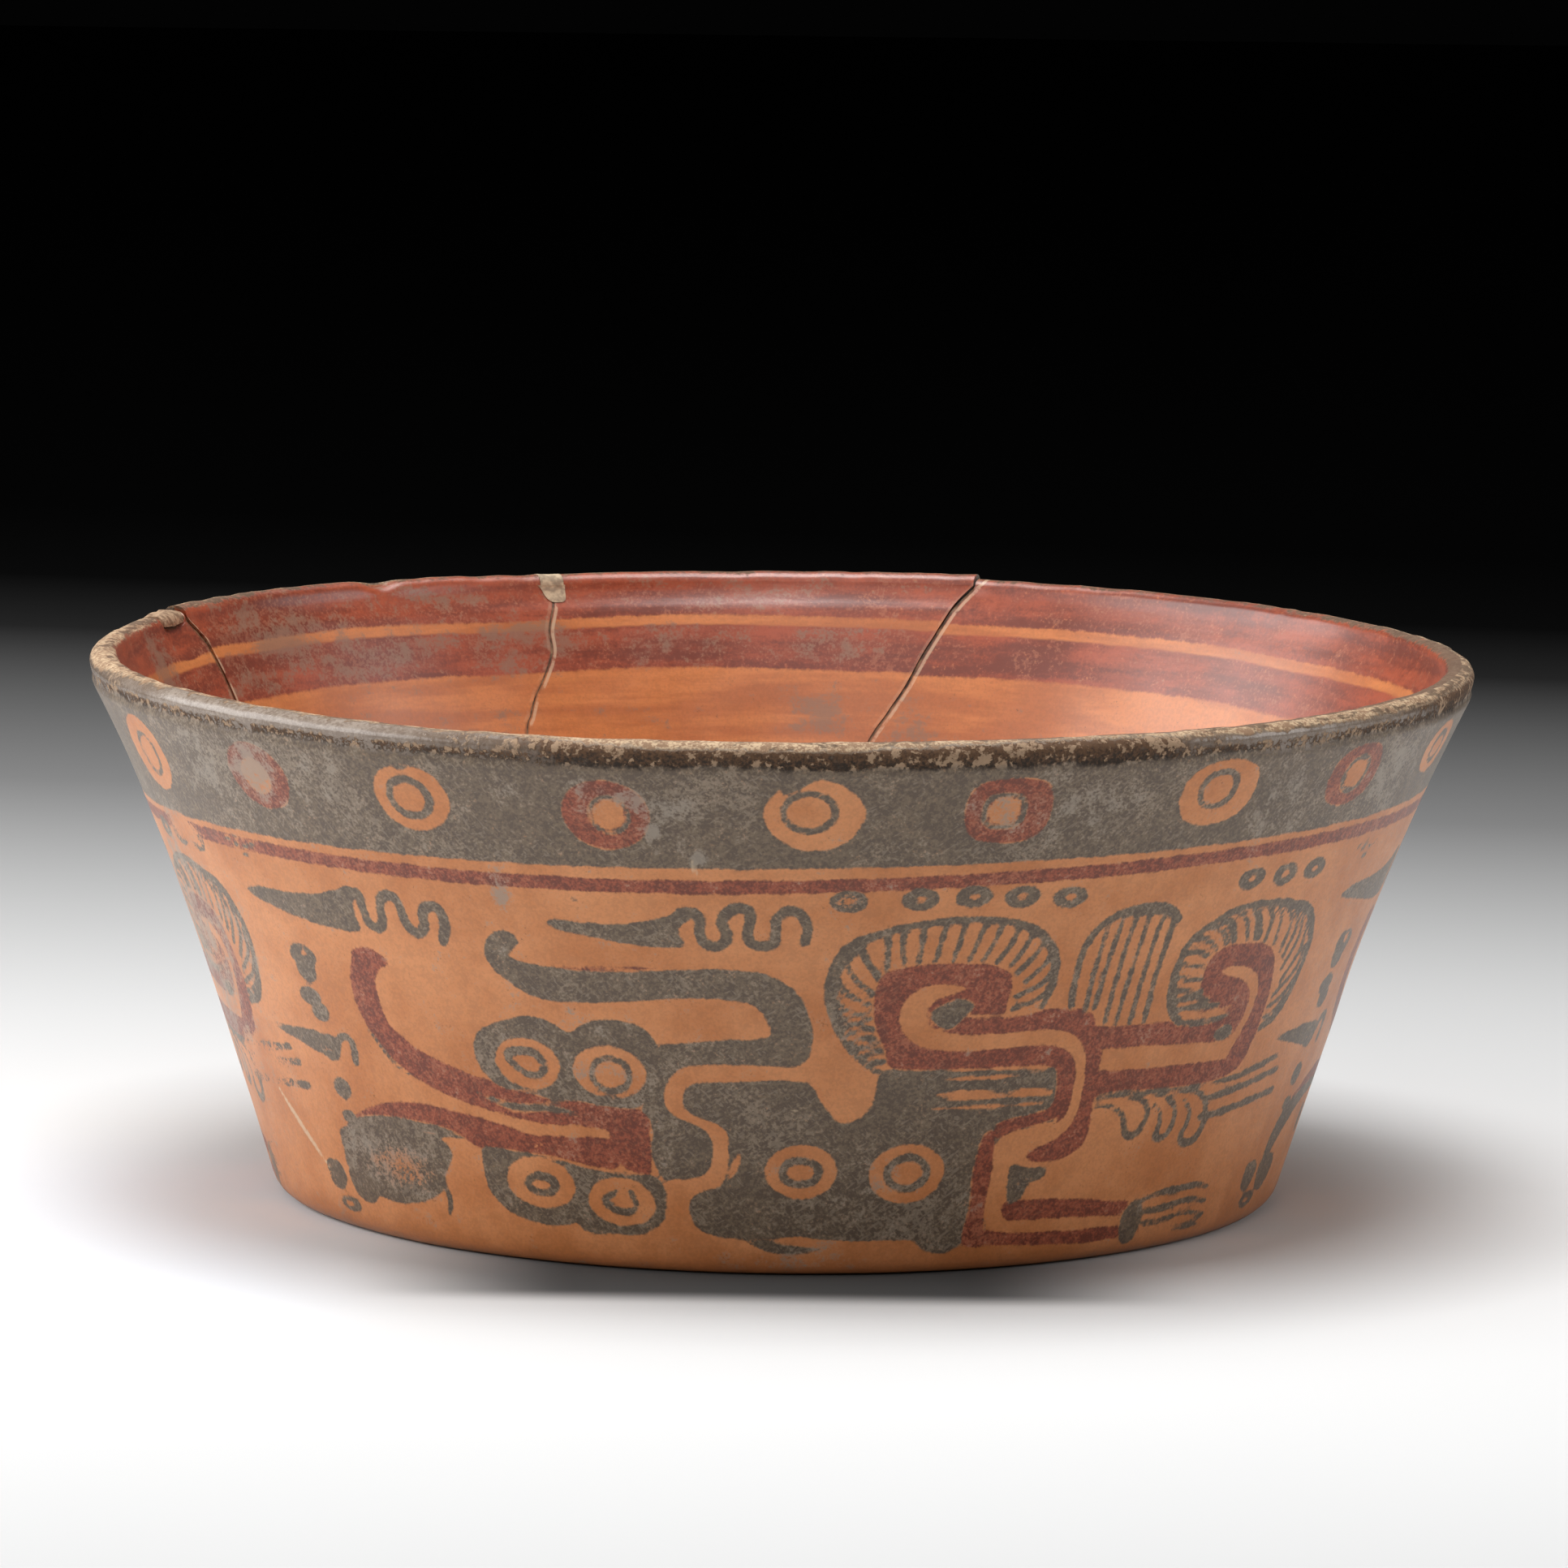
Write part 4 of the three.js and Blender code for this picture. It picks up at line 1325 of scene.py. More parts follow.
@dataclass(frozen=True)
class CentreFill:
    """Pale filler in the notch at the top of the centre break, smeared over the edges of the notch."""

    half: float = 2.38
    depth: float = 4.56
    columns: int = 12
    rows: int = 14
    across: int = 10
    crowd: float = 1.6
    smear: float = 0.5
    ragged: Noise = (0.8, (0.6, 1.5), 63)
    hang: float = 0.35
    proud: float = 0.12
    lift: float = 0.05

    def build(self) -> Made:
        """Builds a block of wall with an arched foot.

        Returns:
            The object and its points.
        """
        a = np.linspace(-1, 1, self.columns + 1)[:, None]
        turn = np.linspace(0.05, 1, self.rows + 1)[None, :]
        z = FORM.height - self.depth + (self.depth - FORM.lip_edge) * turn**self.crowd
        z = np.repeat(z, self.columns + 1, axis=0)
        high = (FORM.height - z) / self.depth
        arch = np.sqrt(np.clip(1 - high**2, 0.002, 1))
        around = CENTRE_FILL_ANGLE + a * self.half * arch / math.radians(FORM.rim_radius)
        ragged = self.ragged[0] * ripple(around, z, *self.ragged[1:])
        uneven = self.smear * (1 + ragged) * (0.4 + 0.6 * turn)
        wide = around + uneven * a / (math.radians(1) * FORM.rim_radius)
        wide = wide - self.hang * (1 - turn)
        low = z - uneven * (1 - turn)
        skin = HAND.leave(wall(wide, low, self.across), self.lift)
        skin[:, :, 0, :2] *= 1 + self.proud / FORM.rim_radius
        skin[:, :, -1, :2] *= 1 - self.proud / FORM.rim_radius
        core = HAND.leave(wall(around, z, self.across), self.lift)
        block = np.concatenate([skin[:, :, :1], core, skin[:, :, -1:]], axis=2)
        return build_block(block, "visual_centre_rim_fill")


@dataclass(frozen=True)
class LeftFill:
    """Tan filler heaped on the lip beside the left break, smeared a little over both faces."""

    half: float = 4.2
    depth: float = 0.7
    columns: int = 24
    rows: int = 11
    across: int = 10
    sag: float = 0.55
    clear: float = 0.15
    proud: float = 0.08
    smears: Noise = (0.6, (0.9, 1.6), 61)
    heap: float = 0.45
    heap_from: float = 84.5
    lumps: Noise = (0.5, (0.8, 1.2), 62)

    def build(self) -> Made:
        """Builds a block of wall with a humped top.

        Returns:
            The object and its points.
        """
        a = np.linspace(-1, 1, self.columns + 1)[:, None]
        up = np.linspace(0, 1, self.rows + 1)[None, :]
        arch = np.sqrt(np.clip(1 - a**2, 0.02, 1))
        foot = FORM.height - FORM.lip_edge - self.depth * arch * self.sag
        z = foot + (FORM.height - FORM.lip_edge - foot) * up
        around = LEFT_FILL_ANGLE + a * self.half / math.radians(FORM.rim_radius) + 0 * z
        around = np.maximum(around, LEFT_BREAK.angle_at(share_of(z)) + self.clear)
        block = HAND.leave(wall(around, z, self.across))
        smeared = 1 + self.smears[0] * ripple(block[..., 3], block[..., 2], *self.smears[1:])
        thicken(block, self.proud * arch[..., None] * smeared)
        lump = 1 + self.lumps[0] * ripple(block[..., 3], block[..., 5] * 4, *self.lumps[1:])
        heap = smooth(block[..., 2], self.heap_from, FORM.height)
        block[..., 2] += self.heap * lump * arch[..., None] * heap
        return build_block(block, "visual_left_rim_fill")


# Colours and finishes

def colour(code: str) -> tuple[float, float, float, float]:
    """Linear colour from an sRGB hex code: ((c + 0.055) / 1.055)^2.4 above 0.04045, c / 12.92 below.

    Args:
        code: The hex code.

    Returns:
        Red, green, blue and 1.
    """
    shares = [int(code[i : i + 2], 16) / 255 for i in (1, 3, 5)]
    linear = [c / 12.92 if c <= 0.04045 else ((c + 0.055) / 1.055) ** 2.4 for c in shares]
    return (*linear, 1.0)


@dataclass(frozen=True)
class ClayFinish:
    """Burnished slip over fired clay, painted, handled and long buried."""

    orange: str = "#D58D59"
    orange_deep: str = "#C07641"
    orange_rich: str = "#AE6834"
    orange_inside: str = "#CB7B40"
    orange_inside_deep: str = "#B0602C"
    ink: str = "#75634F"
    ink_deep: str = "#5A4A3C"
    ink_fleck: str = "#9F8E7B"
    red: str = "#9C4F34"
    red_deep: str = "#6C3322"
    red_fleck: str = "#B87A5A"
    red_inside: str = "#A34A28"
    red_inside_deep: str = "#702D16"
    stain: str = "#7C6654"
    # Pale grey over the paint outside: a bloom on worn paint, and at the left edge a painted sheen.
    wash_and_sheen: str = "#94887A"
    cream: str = "#C6AA89"
    buff: str = "#8E6F54"
    roll: str = "#6E5C4E"
    # Lighter roll colour, a painted sheen where the crust is thin.
    roll_painted_sheen: str = "#9E9084"
    crust: str = "#1E1206"
    crust_brown: str = "#5E4027"
    flake: str = "#A98C70"
    grime: str = "#4A3423"
    pale: str = "#D8BF9F"
    roughness: float = 0.38
    roughness_inside: float = 0.39
    roughness_roll: float = 0.26
    wax: float = 0.7


@dataclass(frozen=True)
class PlainFinish:
    """One colour with a soft mottle."""

    name: str
    light: str
    dark: str
    roughness: float
    grain: float


GLUE = PlainFinish("aged brown resin glue", "#86684A", "#4B3524", 0.5, 1.6)
PALE_PUTTY = PlainFinish("pale plaster filler", "#BFA98C", "#93806A", 0.8, 1.2)
TAN_PUTTY = PlainFinish("tan plaster filler", "#AB8D70", "#785C45", 0.8, 0.9)

Socket = bpy.types.NodeSocket


@dataclass(frozen=True)
class Kind:
    """A sort of node: its type, its options, the sockets that inputs fill in turn, and its output."""

    type: str
    options: tuple[tuple[str, object], ...] = ()
    sockets: tuple[int | str, ...] = (0, 1, 2, 3, 4)
    output: int | str = 0


PLACE = Kind("ShaderNodeTexCoord", output="Object")
FIELD = Kind("ShaderNodeAttribute", output="Fac")
NOISE = Kind("ShaderNodeTexNoise", sockets=("Vector", "Scale", "Detail", "Roughness"))
STEP = Kind("ShaderNodeMapRange", (("interpolation_type", "SMOOTHSTEP"),))
MIX = Kind("ShaderNodeMix", (("data_type", "RGBA"),), (0, 6, 7), 2)
PLUS, MINUS, TIMES, TIMES_PLUS, HIGHER, SIZE = (
    Kind("ShaderNodeMath", (("operation", name),))
    for name in ("ADD", "SUBTRACT", "MULTIPLY", "MULTIPLY_ADD", "MAXIMUM", "ABSOLUTE")
)
TURN = Kind("ShaderNodeMapping", (("vector_type", "TEXTURE"),), ("Vector", "Location", "Rotation", "Scale"))
BUMP = Kind("ShaderNodeBump", sockets=("Strength", "Distance", "Height"), output="Normal")
X_OF = Kind("ShaderNodeSeparateXYZ", output="X")
Y_OF = Kind("ShaderNodeSeparateXYZ", output="Y")
CAMERA_RAY = Kind("ShaderNodeLightPath", output="Is Camera Ray")
GLOSSY_RAY = Kind("ShaderNodeLightPath", output="Is Glossy Ray")
TRANSMISSION_RAY = Kind("ShaderNodeLightPath", output="Is Transmission Ray")
RAMP = Kind("ShaderNodeValToRGB")


class Nodes:
    """The nodes of one tree, a material's or the world's."""

    def __init__(self, tree: bpy.types.NodeTree) -> None:
        """Takes the tree to add to."""
        self.tree = tree

    def add(self, kind: Kind, *inputs: object, **options: object) -> Socket:
        """Adds a node, sets its options and fills its sockets with values or with other outputs.

        Args:
            kind: The sort of node.
            inputs: Values, hex colours or output sockets for the kind's sockets, in their order.
            options: More options of the node.

        Returns:
            The kind's output socket.
        """
        node = self.tree.nodes.new(kind.type)
        for name, value in (*kind.options, *options.items()):
            setattr(node, name, value)
        for key, value in zip(kind.sockets, inputs, strict=False):
            if isinstance(value, Socket):
                self.tree.links.new(value, node.inputs[key])
            else:
                node.inputs[key].default_value = colour(value) if isinstance(value, str) else value
        return node.outputs[kind.output]

    def over(self, under: Socket, tone: Socket | str, share: Socket, strength: float) -> Socket:
        """Lays a colour over another by a share times a strength."""
        return self.add(MIX, self.add(TIMES, share, strength), under, tone)

    def sway(self, noise: Socket, size: float, base: Socket | float) -> Socket:
        """Adds to a base a noise that runs from minus half its size to plus half of it."""
        return self.add(TIMES_PLUS, self.add(MINUS, noise, 0.5), size, base)

    def stops(self, output: Socket, stops: tuple[tuple[float, str], ...]) -> None:
        """Sets the colours of a ramp node.

        Args:
            output: The ramp's output.
            stops: Places from 0 to 1, each with its hex colour.
        """
        elements = output.node.color_ramp.elements
        while len(elements) < len(stops):
            elements.new(0.5)
        for element, (place, code) in zip(elements, stops, strict=True):
            element.position = place
            element.color = colour(code)


class Shader(Nodes):
    """The nodes of one material with a principled surface."""

    def __init__(self, name: str) -> None:
        """Starts the material, with the place on the piece as its first node.

        Args:
            name: Name of the material.
        """
        self.material = bpy.data.materials.new(name)
        self.material.use_nodes = True
        super().__init__(self.material.node_tree)
        self.surface = self.tree.nodes["Principled BSDF"]
        self.place = self.add(PLACE)

    def finish(self, **inputs: object) -> bpy.types.Material:
        """Fills sockets of the principled surface.

        Args:
            inputs: Values or outputs by socket name, with an underscore for each space.

        Returns:
            The material.
        """
        for key, value in inputs.items():
            socket = self.surface.inputs[key.replace("_", " ")]
            if isinstance(value, Socket):
                self.tree.links.new(value, socket)
            else:
                socket.default_value = value
        return self.material


# Numbers kept on every point of a clay piece for its material, in the order in which they are read.

FIELDS = ("ink", "red", "bare", "slant", "inside", "crack", "near", "fade", "stain", "crown", "crusty",
          "grubby")


class ClayShader(Shader):
    """Earthenware under orange, maroon and black-brown slip, rubbed with a pebble to a satin shine.

    The eye sees matt-looking paint with a soft sheen, fine brush and rubbing marks that run round the
    wall, pale scratches, flecks and a grey bloom where the black has worn, a painted sheen over the paint
    at the left edge, a worn cream crown on the lip, a roll painted lighter as a painted sheen where the
    crust is thin, and a dark crust under it. The inside has a wetter shine, made with a coat. The noises
    are sized in millimetres: cloud 60, blotch 14, patch 4, grain 1.3, dust 0.5, and a scratch 0.5 across
    and four times as long. Brush noises are stretched eight times round the bowl.
    """

    ROUND = (8.0, 8.0, 1.0)
    SCRATCH = (4.0, 1.0, 1.0)

    def __init__(self, look: ClayFinish) -> None:
        """Starts the material with its noises and the fields kept on the points.

        Args:
            look: Its colours and its shine.
        """
        super().__init__("burnished slip-painted earthenware")
        self.look = look
        add = self.add
        self.cloud, self.blotch, self.patch, self.grain, self.dust = (
            add(NOISE, self.place, 1 / (size * MM), detail, 0.6)
            for size, detail in ((60.0, 2), (14.0, 4), (4.0, 4), (1.3, 3), (0.5, 2))
        )
        nought = (0.0, 0.0, 0.0)
        round_wall = add(TURN, self.place, nought, nought, self.ROUND)
        self.sweep, self.hair = (add(NOISE, round_wall, 1 / (size * MM), 3, 0.6) for size in (3.5, 0.7))
        slopes = (add(TURN, self.place, nought, (0.0, turn, 0.0), self.SCRATCH) for turn in (0.85, -0.6))
        rising, falling = (add(NOISE, slope, 1 / (0.5 * MM), 1) for slope in slopes)
        self.scratch = add(HIGHER, rising, falling)
        (self.ink, self.red, self.bare, self.slant, self.inside, self.crack, self.near, self.fade, self.stain,
         self.crown, self.crusty, self.grubby) = (add(FIELD, attribute_name=name) for name in FIELDS)
        self.outside = add(MINUS, 1.0, self.inside)
        fine = add(TIMES_PLUS, self.dust, 0.4, add(TIMES, self.grain, 0.35))
        self.mottle = add(TIMES_PLUS, self.patch, 0.25, fine)
        wobble = add(TIMES_PLUS, self.patch, 0.9, add(TIMES, self.grain, 0.55))
        self.shiver = add(MINUS, add(TIMES_PLUS, self.dust, 0.25, wobble), 0.85)

    def flecks(self) -> Socket:
        """Pale scratches and flecks half a millimetre across, most where the paint is washed out.

        Returns:
            Their share.
        """
        add = self.add
        gathered = self.sway(self.blotch, 0.45, add(TIMES, self.stain, 0.12))
        scratched = add(STEP, add(PLUS, self.scratch, gathered), 0.60, 0.72)
        flecked = add(STEP, add(PLUS, self.mottle, gathered), 0.55, 0.64)
        return add(HIGHER, add(TIMES, scratched, add(TIMES, self.outside, 0.8)), flecked)

    def cover(self) -> Socket:
        """The paint that is still there: less in worn places, with pinholes anywhere.

        Returns:
            Its share.
        """
        add = self.add
        pinholes = add(TIMES, add(STEP, self.dust, 0.60, 0.68), add(STEP, self.patch, 0.5, 0.7))
        worn = add(STEP, add(PLUS, self.fade, add(TIMES_PLUS, self.mottle, 1.5, -0.75)), 0.5, 0.72)
        lost = add(HIGHER, add(TIMES, pinholes, 0.4), worn)
        return add(MINUS, 1.0, lost)

    def ground(self) -> Socket:
        """The orange slip: clouded, brushed round the wall, richer near the base, with a few dark grains.

        Returns:
            Its colour.
        """
        add, look = self.add, self.look
        outer = add(MIX, add(STEP, self.blotch, 0.35, 0.7), look.orange, look.orange_deep)
        low = add(STEP, add(TIMES_PLUS, self.blotch, 12.0, self.slant), 92.0, 99.0)
        outer = self.over(outer, look.orange_rich, low, 0.8)
        streaks = add(STEP, self.sweep, 0.38, 0.64)
        inner = add(MIX, streaks, look.orange_inside, look.orange_inside_deep)
        base = add(MIX, self.inside, outer, inner)
        base = self.over(base, look.orange_deep, streaks, 0.22)
        base = self.over(base, look.grime, add(STEP, self.mottle, 0.58, 0.40), 0.16)
        grains = add(TIMES, add(STEP, self.dust, 0.36, 0.30), add(STEP, self.patch, 0.52, 0.62))
        return self.over(base, look.grime, grains, 0.45)

    def paints(self) -> tuple[Socket, Socket, Socket]:
        """The paints, uneven, flecked and brushed.

        Returns:
            The colours of the ink, of the red outside and of the red inside.
        """
        add, look = self.add, self.look
        uneven = add(STEP, self.mottle, 0.42, 0.58)
        flecks = self.flecks()
        ink = add(MIX, uneven, look.ink_deep, look.ink)
        ink = self.over(ink, look.ink_fleck, flecks, 0.46)
        red = add(MIX, uneven, look.red_deep, look.red)
        red = self.over(red, look.red_fleck, flecks, 0.3)
        brushed = add(STEP, add(TIMES_PLUS, self.mottle, 0.8, self.sweep), 0.70, 1.04)
        inner = add(MIX, brushed, look.red_inside_deep, look.red_inside)
        clotted = add(STEP, add(TIMES_PLUS, self.grain, 0.5, self.blotch), 0.72, 0.84)
        inner = self.over(inner, look.red_inside_deep, clotted, 0.4)
        inner = self.over(inner, look.red_fleck, flecks, 0.25)
        return ink, red, inner

    def inner_bands(self) -> Socket:
        """The red bands inside: from the rim to 8.3 mm down and from 10 to 18 mm down, swaying a little.

        Returns:
            Their share.
        """
        add = self.add
        sway = add(TIMES, add(MINUS, self.cloud, 0.5), 3.0)
        edge = add(TIMES, self.shiver, 0.9)
        level = add(PLUS, self.slant, add(PLUS, sway, edge))
        bands = add(RAMP, add(TIMES, level, 1 / 40))
        on, off = "#FFFFFF", "#000000"
        self.stops(bands, ((0.0, on), (0.202, on), (0.212, off), (0.249, off), (0.259, on), (0.446, on),
                           (0.458, off)))
        return bands

    def clouds(self, paint: Socket) -> Socket:
        """Grey stains inside, streaked round the wall, and a pale grey bloom on the worn paint outside,
        which at the left edge is a painted sheen.

        Args:
            paint: The colour so far.

        Returns:
            The colour with the clouds.
        """
        add, look = self.add, self.look
        streaked = self.sway(self.sweep, 1.1, self.stain)
        dappled = self.sway(self.patch, 1.1, streaked)
        dappled = self.sway(self.mottle, 1.6, dappled)
        share = add(TIMES, add(STEP, dappled, 0.28, 0.66), self.inside)
        paint = self.over(paint, look.stain, share, 0.62)
        # The pale grey outside: a bloom on worn paint, and at the left edge a painted sheen.
        bloom = self.sway(self.mottle, 2.2, self.stain)
        bloom = self.sway(self.patch, 1.6, bloom)
        share = add(TIMES, add(STEP, bloom, 0.27, 0.85), self.outside)
        return self.over(paint, look.wash_and_sheen, share, 0.75)

    def lip(self, paint: Socket) -> tuple[Socket, Socket, Socket, Socket]:
        """The lip: worn, grubby clay on its crown, a smooth brown roll painted lighter where its crust is
        thin, as a painted sheen, and a dark flaking crust below it.

        Args:
            paint: The colour so far.

        Returns:
            The colour with the lip, and the shares of crust, of smooth roll and of worn crown.
        """
        add, look = self.add, self.look
        ragged = add(TIMES, add(MINUS, self.grain, 0.5), 1.6)
        wander = self.sway(self.patch, 2.0, ragged)
        level = add(PLUS, self.slant, wander)
        below = add(STEP, add(MINUS, level, self.crown), 0.0, 0.25)
        uneven = self.sway(self.blotch, 3.0, level)
        rim = add(TIMES, add(TIMES, add(STEP, uneven, 4.6, 3.6), below), self.outside)
        patchy = self.sway(self.blotch, 1.6, self.crusty)
        patchy = self.sway(self.grain, 1.2, patchy)
        broken = self.sway(self.blotch, 0.5, self.mottle)
        line = add(TIMES, add(STEP, level, 2.3, 2.9), add(STEP, broken, 0.38, 0.52))
        crust = add(TIMES, add(HIGHER, add(STEP, patchy, 0.3, 0.7), line), rim)
        roll = add(TIMES, rim, add(MINUS, 1.0, crust))
        # Painted sheen: the roll is painted lighter where the crust is thin, most on the front left.
        rolled = add(MIX, add(STEP, patchy, -0.1, 0.5), look.roll_painted_sheen, look.roll)
        rolled = self.over(rolled, look.roll, add(STEP, self.mottle, 0.54, 0.44), 0.5)
        paint = self.over(paint, rolled, roll, 0.9)
        lower = add(TIMES_PLUS, level, -0.05, self.mottle)
        crusts = add(MIX, add(STEP, lower, 0.24, 0.44), look.crust, look.crust_brown)
        flaked = add(STEP, add(TIMES_PLUS, self.patch, 0.8, self.grain), 0.93, 1.02)
        crusts = self.over(crusts, look.flake, flaked, 0.9)
        paint = self.over(paint, crusts, crust, 0.92)
        crown = add(STEP, add(MINUS, level, self.crown), 0.25, -0.35)
        cream = add(MIX, add(STEP, self.mottle, 0.56, 0.44), look.cream, look.buff)
        marks = self.sway(self.patch, 0.6, add(MINUS, self.hair, 0.5))
        marks = self.sway(self.grain, 0.8, marks)
        share = add(TIMES_PLUS, self.inside, 0.30, 0.15)
        marks = add(TIMES_PLUS, share, self.grubby, marks)
        cream = self.over(cream, look.grime, add(STEP, marks, 0.10, 0.26), 0.85)
        return self.over(paint, cream, crown, 0.95), crust, roll, crown

    def breaks(self, paint: Socket) -> Socket:
        """Dirt along the old breaks, and pale edges beside them, more on the one side of them.

        Args:
            paint: The colour so far.

        Returns:
            The colour with the dirt.
        """
        add, look = self.add, self.look
        dirt = add(STEP, add(PLUS, self.near, self.shiver), 0.5, 0.1)
        paint = self.over(paint, look.grime, dirt, 0.4)
        flank = add(TIMES, add(STEP, self.near, 0.95, 0.75), add(STEP, self.near, 0.22, 0.4))
        sided = add(TIMES_PLUS, add(STEP, self.crack, 0.3, -0.3), 0.4, 0.12)
        broken = add(TIMES, add(STEP, self.patch, 0.40, 0.55), sided)
        return add(MIX, add(TIMES, flank, broken), paint, look.pale)

    def build(self) -> bpy.types.Material:
        """Puts the layers together, from the ground to the dirt.

        Returns:
            The material.
        """
        add, look = self.add, self.look
        cover = self.cover()
        ink, red, inner = self.paints()
        on_red = add(TIMES, add(STEP, add(PLUS, self.red, self.shiver), 0.22, -0.22), cover)
        on_ink = add(TIMES, add(STEP, add(PLUS, self.ink, self.shiver), 0.22, -0.22), cover)
        on_inner = add(TIMES, add(TIMES, self.inner_bands(), self.inside), cover)
        paint = add(MIX, on_red, self.ground(), red)
        paint = add(MIX, on_inner, paint, inner)
        paint = add(MIX, on_ink, paint, ink)
        bared = add(STEP, add(PLUS, self.bare, self.shiver), 0.2, -0.2)
        paint = self.clouds(self.over(paint, look.pale, bared, 0.7))
        paint, crust, roll, crown = self.lip(paint)
        foot = add(STEP, add(TIMES_PLUS, self.patch, 7.0, self.slant), 94.0, 100.0)
        foot = add(TIMES, add(TIMES, foot, self.outside), 0.4)
        paint = self.breaks(add(MIX, foot, paint, look.grime))

        height = add(TIMES_PLUS, self.hair, 0.5, add(TIMES, self.grain, 0.35))
        height = add(TIMES_PLUS, self.patch, 0.8, height)
        knobs = add(TIMES, add(STEP, self.grain, 0.5, 0.6), 2.4)
        height = add(TIMES_PLUS, crust, knobs, height)
        bump = add(BUMP, 0.5, 0.00012, height)
        rough = add(TIMES_PLUS, self.inside, look.roughness_inside - look.roughness, look.roughness)
        rough = self.sway(self.grain, 0.2, rough)
        rough = add(TIMES_PLUS, add(PLUS, crust, crown), 0.45, rough)
        rough = add(TIMES_PLUS, roll, look.roughness_roll - look.roughness, rough)
        wax = add(TIMES, add(TIMES, self.inside, add(MINUS, 1.0, crown)), look.wax)
        return self.finish(Base_Color=paint, Roughness=rough, Normal=bump, IOR=1.5,
                           Coat_Weight=wax, Coat_Roughness=look.roughness_inside)


def plain_material(look: PlainFinish) -> bpy.types.Material:
    """Glue or plaster: dull, softly mottled and slightly lumpy.

    Args:
        look: Its colours, roughness and grain.

    Returns:
        The material.
    """
    s = Shader(look.name)
    noise = s.add(NOISE, s.place, 1 / (look.grain * MM), 4)
    tone = s.add(MIX, s.add(STEP, noise, 0.35, 0.65), look.light, look.dark)
    return s.finish(Base_Color=tone, Roughness=look.roughness, Normal=s.add(BUMP, 0.6, 0.0002, noise))


# Putting the looks on the pieces

# A break is measured within a window of degrees and millimetres, and beyond the reach it counts as far.
CRACK_WINDOW = (6, 12)
CRACK_REACH, CRACK_FAR = 4.0, 6.0

# Share of the way through the wall that the outside paint reaches, and the angle past which edges are hard.
PAINTED_SHARE = 0.45
SHARP_ANGLE = math.radians(40)


def crack_distance(points: Array) -> Array:
    """Millimetres from each point to the nearest old break, below 0 on its right as seen from inside.

    Places beyond the reach count as far on the left.

    Args:
        points: The six numbers of each point.

    Returns:
        The distances.
    """
    nearest = np.full(len(points), CRACK_FAR)
    per_degree = math.radians(1) * np.maximum(np.hypot(points[:, 0], points[:, 1]), 1)
    for course in BREAKS:
        line = course.line()
        for start, end in zip(line[:-1], line[1:], strict=True):
            centre = (start + end) / 2
            ax = np.mod(points[:, 3] - centre[0] + 180, 360) - 180
            beside = np.abs(ax) < CRACK_WINDOW[0]
            near = beside & (np.abs(points[:, 2] - level_of(centre[1])) < CRACK_WINDOW[1])
            if not near.any():
                continue
            px = (ax[near] + centre[0] - start[0]) * per_degree[near]
            py = points[near, 2] - level_of(start[1])
            dx, dy = (end[0] - start[0]) * per_degree[near], level_of(end[1]) - level_of(start[1])
            t = np.clip((px * dx + py * dy) / (dx * dx + dy * dy), 0, 1)
            gap = np.hypot(px - t * dx, py - t * dy)
            closer = gap < np.abs(nearest[near])
            side = np.sign(px * dy - py * dx) * np.sign(dy)
            nearest[near] = np.where(closer, gap * side, nearest[near])
    return np.where(np.abs(nearest) < CRACK_REACH, nearest, CRACK_FAR)


# Soft spots, each with its angle, slant, half width in degrees, half height in millimetres and amount.

WORN = ((-44, 80, 9, 7, 0.64), (-25, 73, 4, 2.5, 0.5), (6, 28, 2.4, 3, 0.6), (-67, 27, 6, 4, 0.95),
        (-72, 48, 11, 14, 0.66), (-66, 67, 11, 8, 0.84), (-67, 86, 11, 10, 1.2), (27, 79, 3, 4, 0.5),
        (1, 88, 6, 3, 0.4), (34, 88, 8, 3, 0.35), (67, 26, 4, 4, 0.6))

# Pale grey spots outside: a bloom on worn paint, and at the left edge, near -74 and -62 degrees, a painted
# sheen.
WASHED_AND_SHEEN = ((-46, 79, 7, 6, 0.5), (-49, 11, 4.5, 7, 0.85), (-57, 12, 5, 9, 0.55), (-40, 12, 3.4, 8, 0.4),
          (-74, 48, 10, 24, 0.65), (-6.6, 20.6, 0.7, 1.2, 1.3), (-10.2, 15.6, 0.8, 1.6, 1.2),
          (4, 91, 6, 3, 0.4), (-16, 62, 7, 9, 0.3), (-13, 10, 4, 4, 0.5), (18, 12, 4, 5, 0.42),
          (-24.6, 29, 1.0, 4.6, 0.85), (-9, 13, 3, 5, 0.6), (-22, 9, 3, 3, 0.3), (26, 12, 5, 7, 0.5),
          (46, 13, 4, 7, 0.5), (63, 12, 5, 8, 0.6), (-16, 8, 2, 2.5, 0.5), (-62, 44, 4, 10, 0.5),
          (-17, 56, 9, 12, 0.2), (10, 78, 9, 8, 0.25))

STAINED = ((234, 8, 12, 9, 0.62), (222, 13, 13, 7, 0.56), (205, 13, 8, 7, 0.5), (256, 9, 3, 10, 0.8),
           (240, 14, 9, 7, 0.5), (190, 13, 9, 5, 0.5), (176, 14, 8, 4, 0.45), (176, 26, 4, 5, 0.5),
           (196, 30, 5, 6, 0.45), (213, 30, 5, 5, 0.5), (166, 30, 3, 7, 0.5), (186, 4, 12, 4, 0.4),
           (208, 26, 3, 3, 0.45), (212, 4, 8, 3, 0.4))
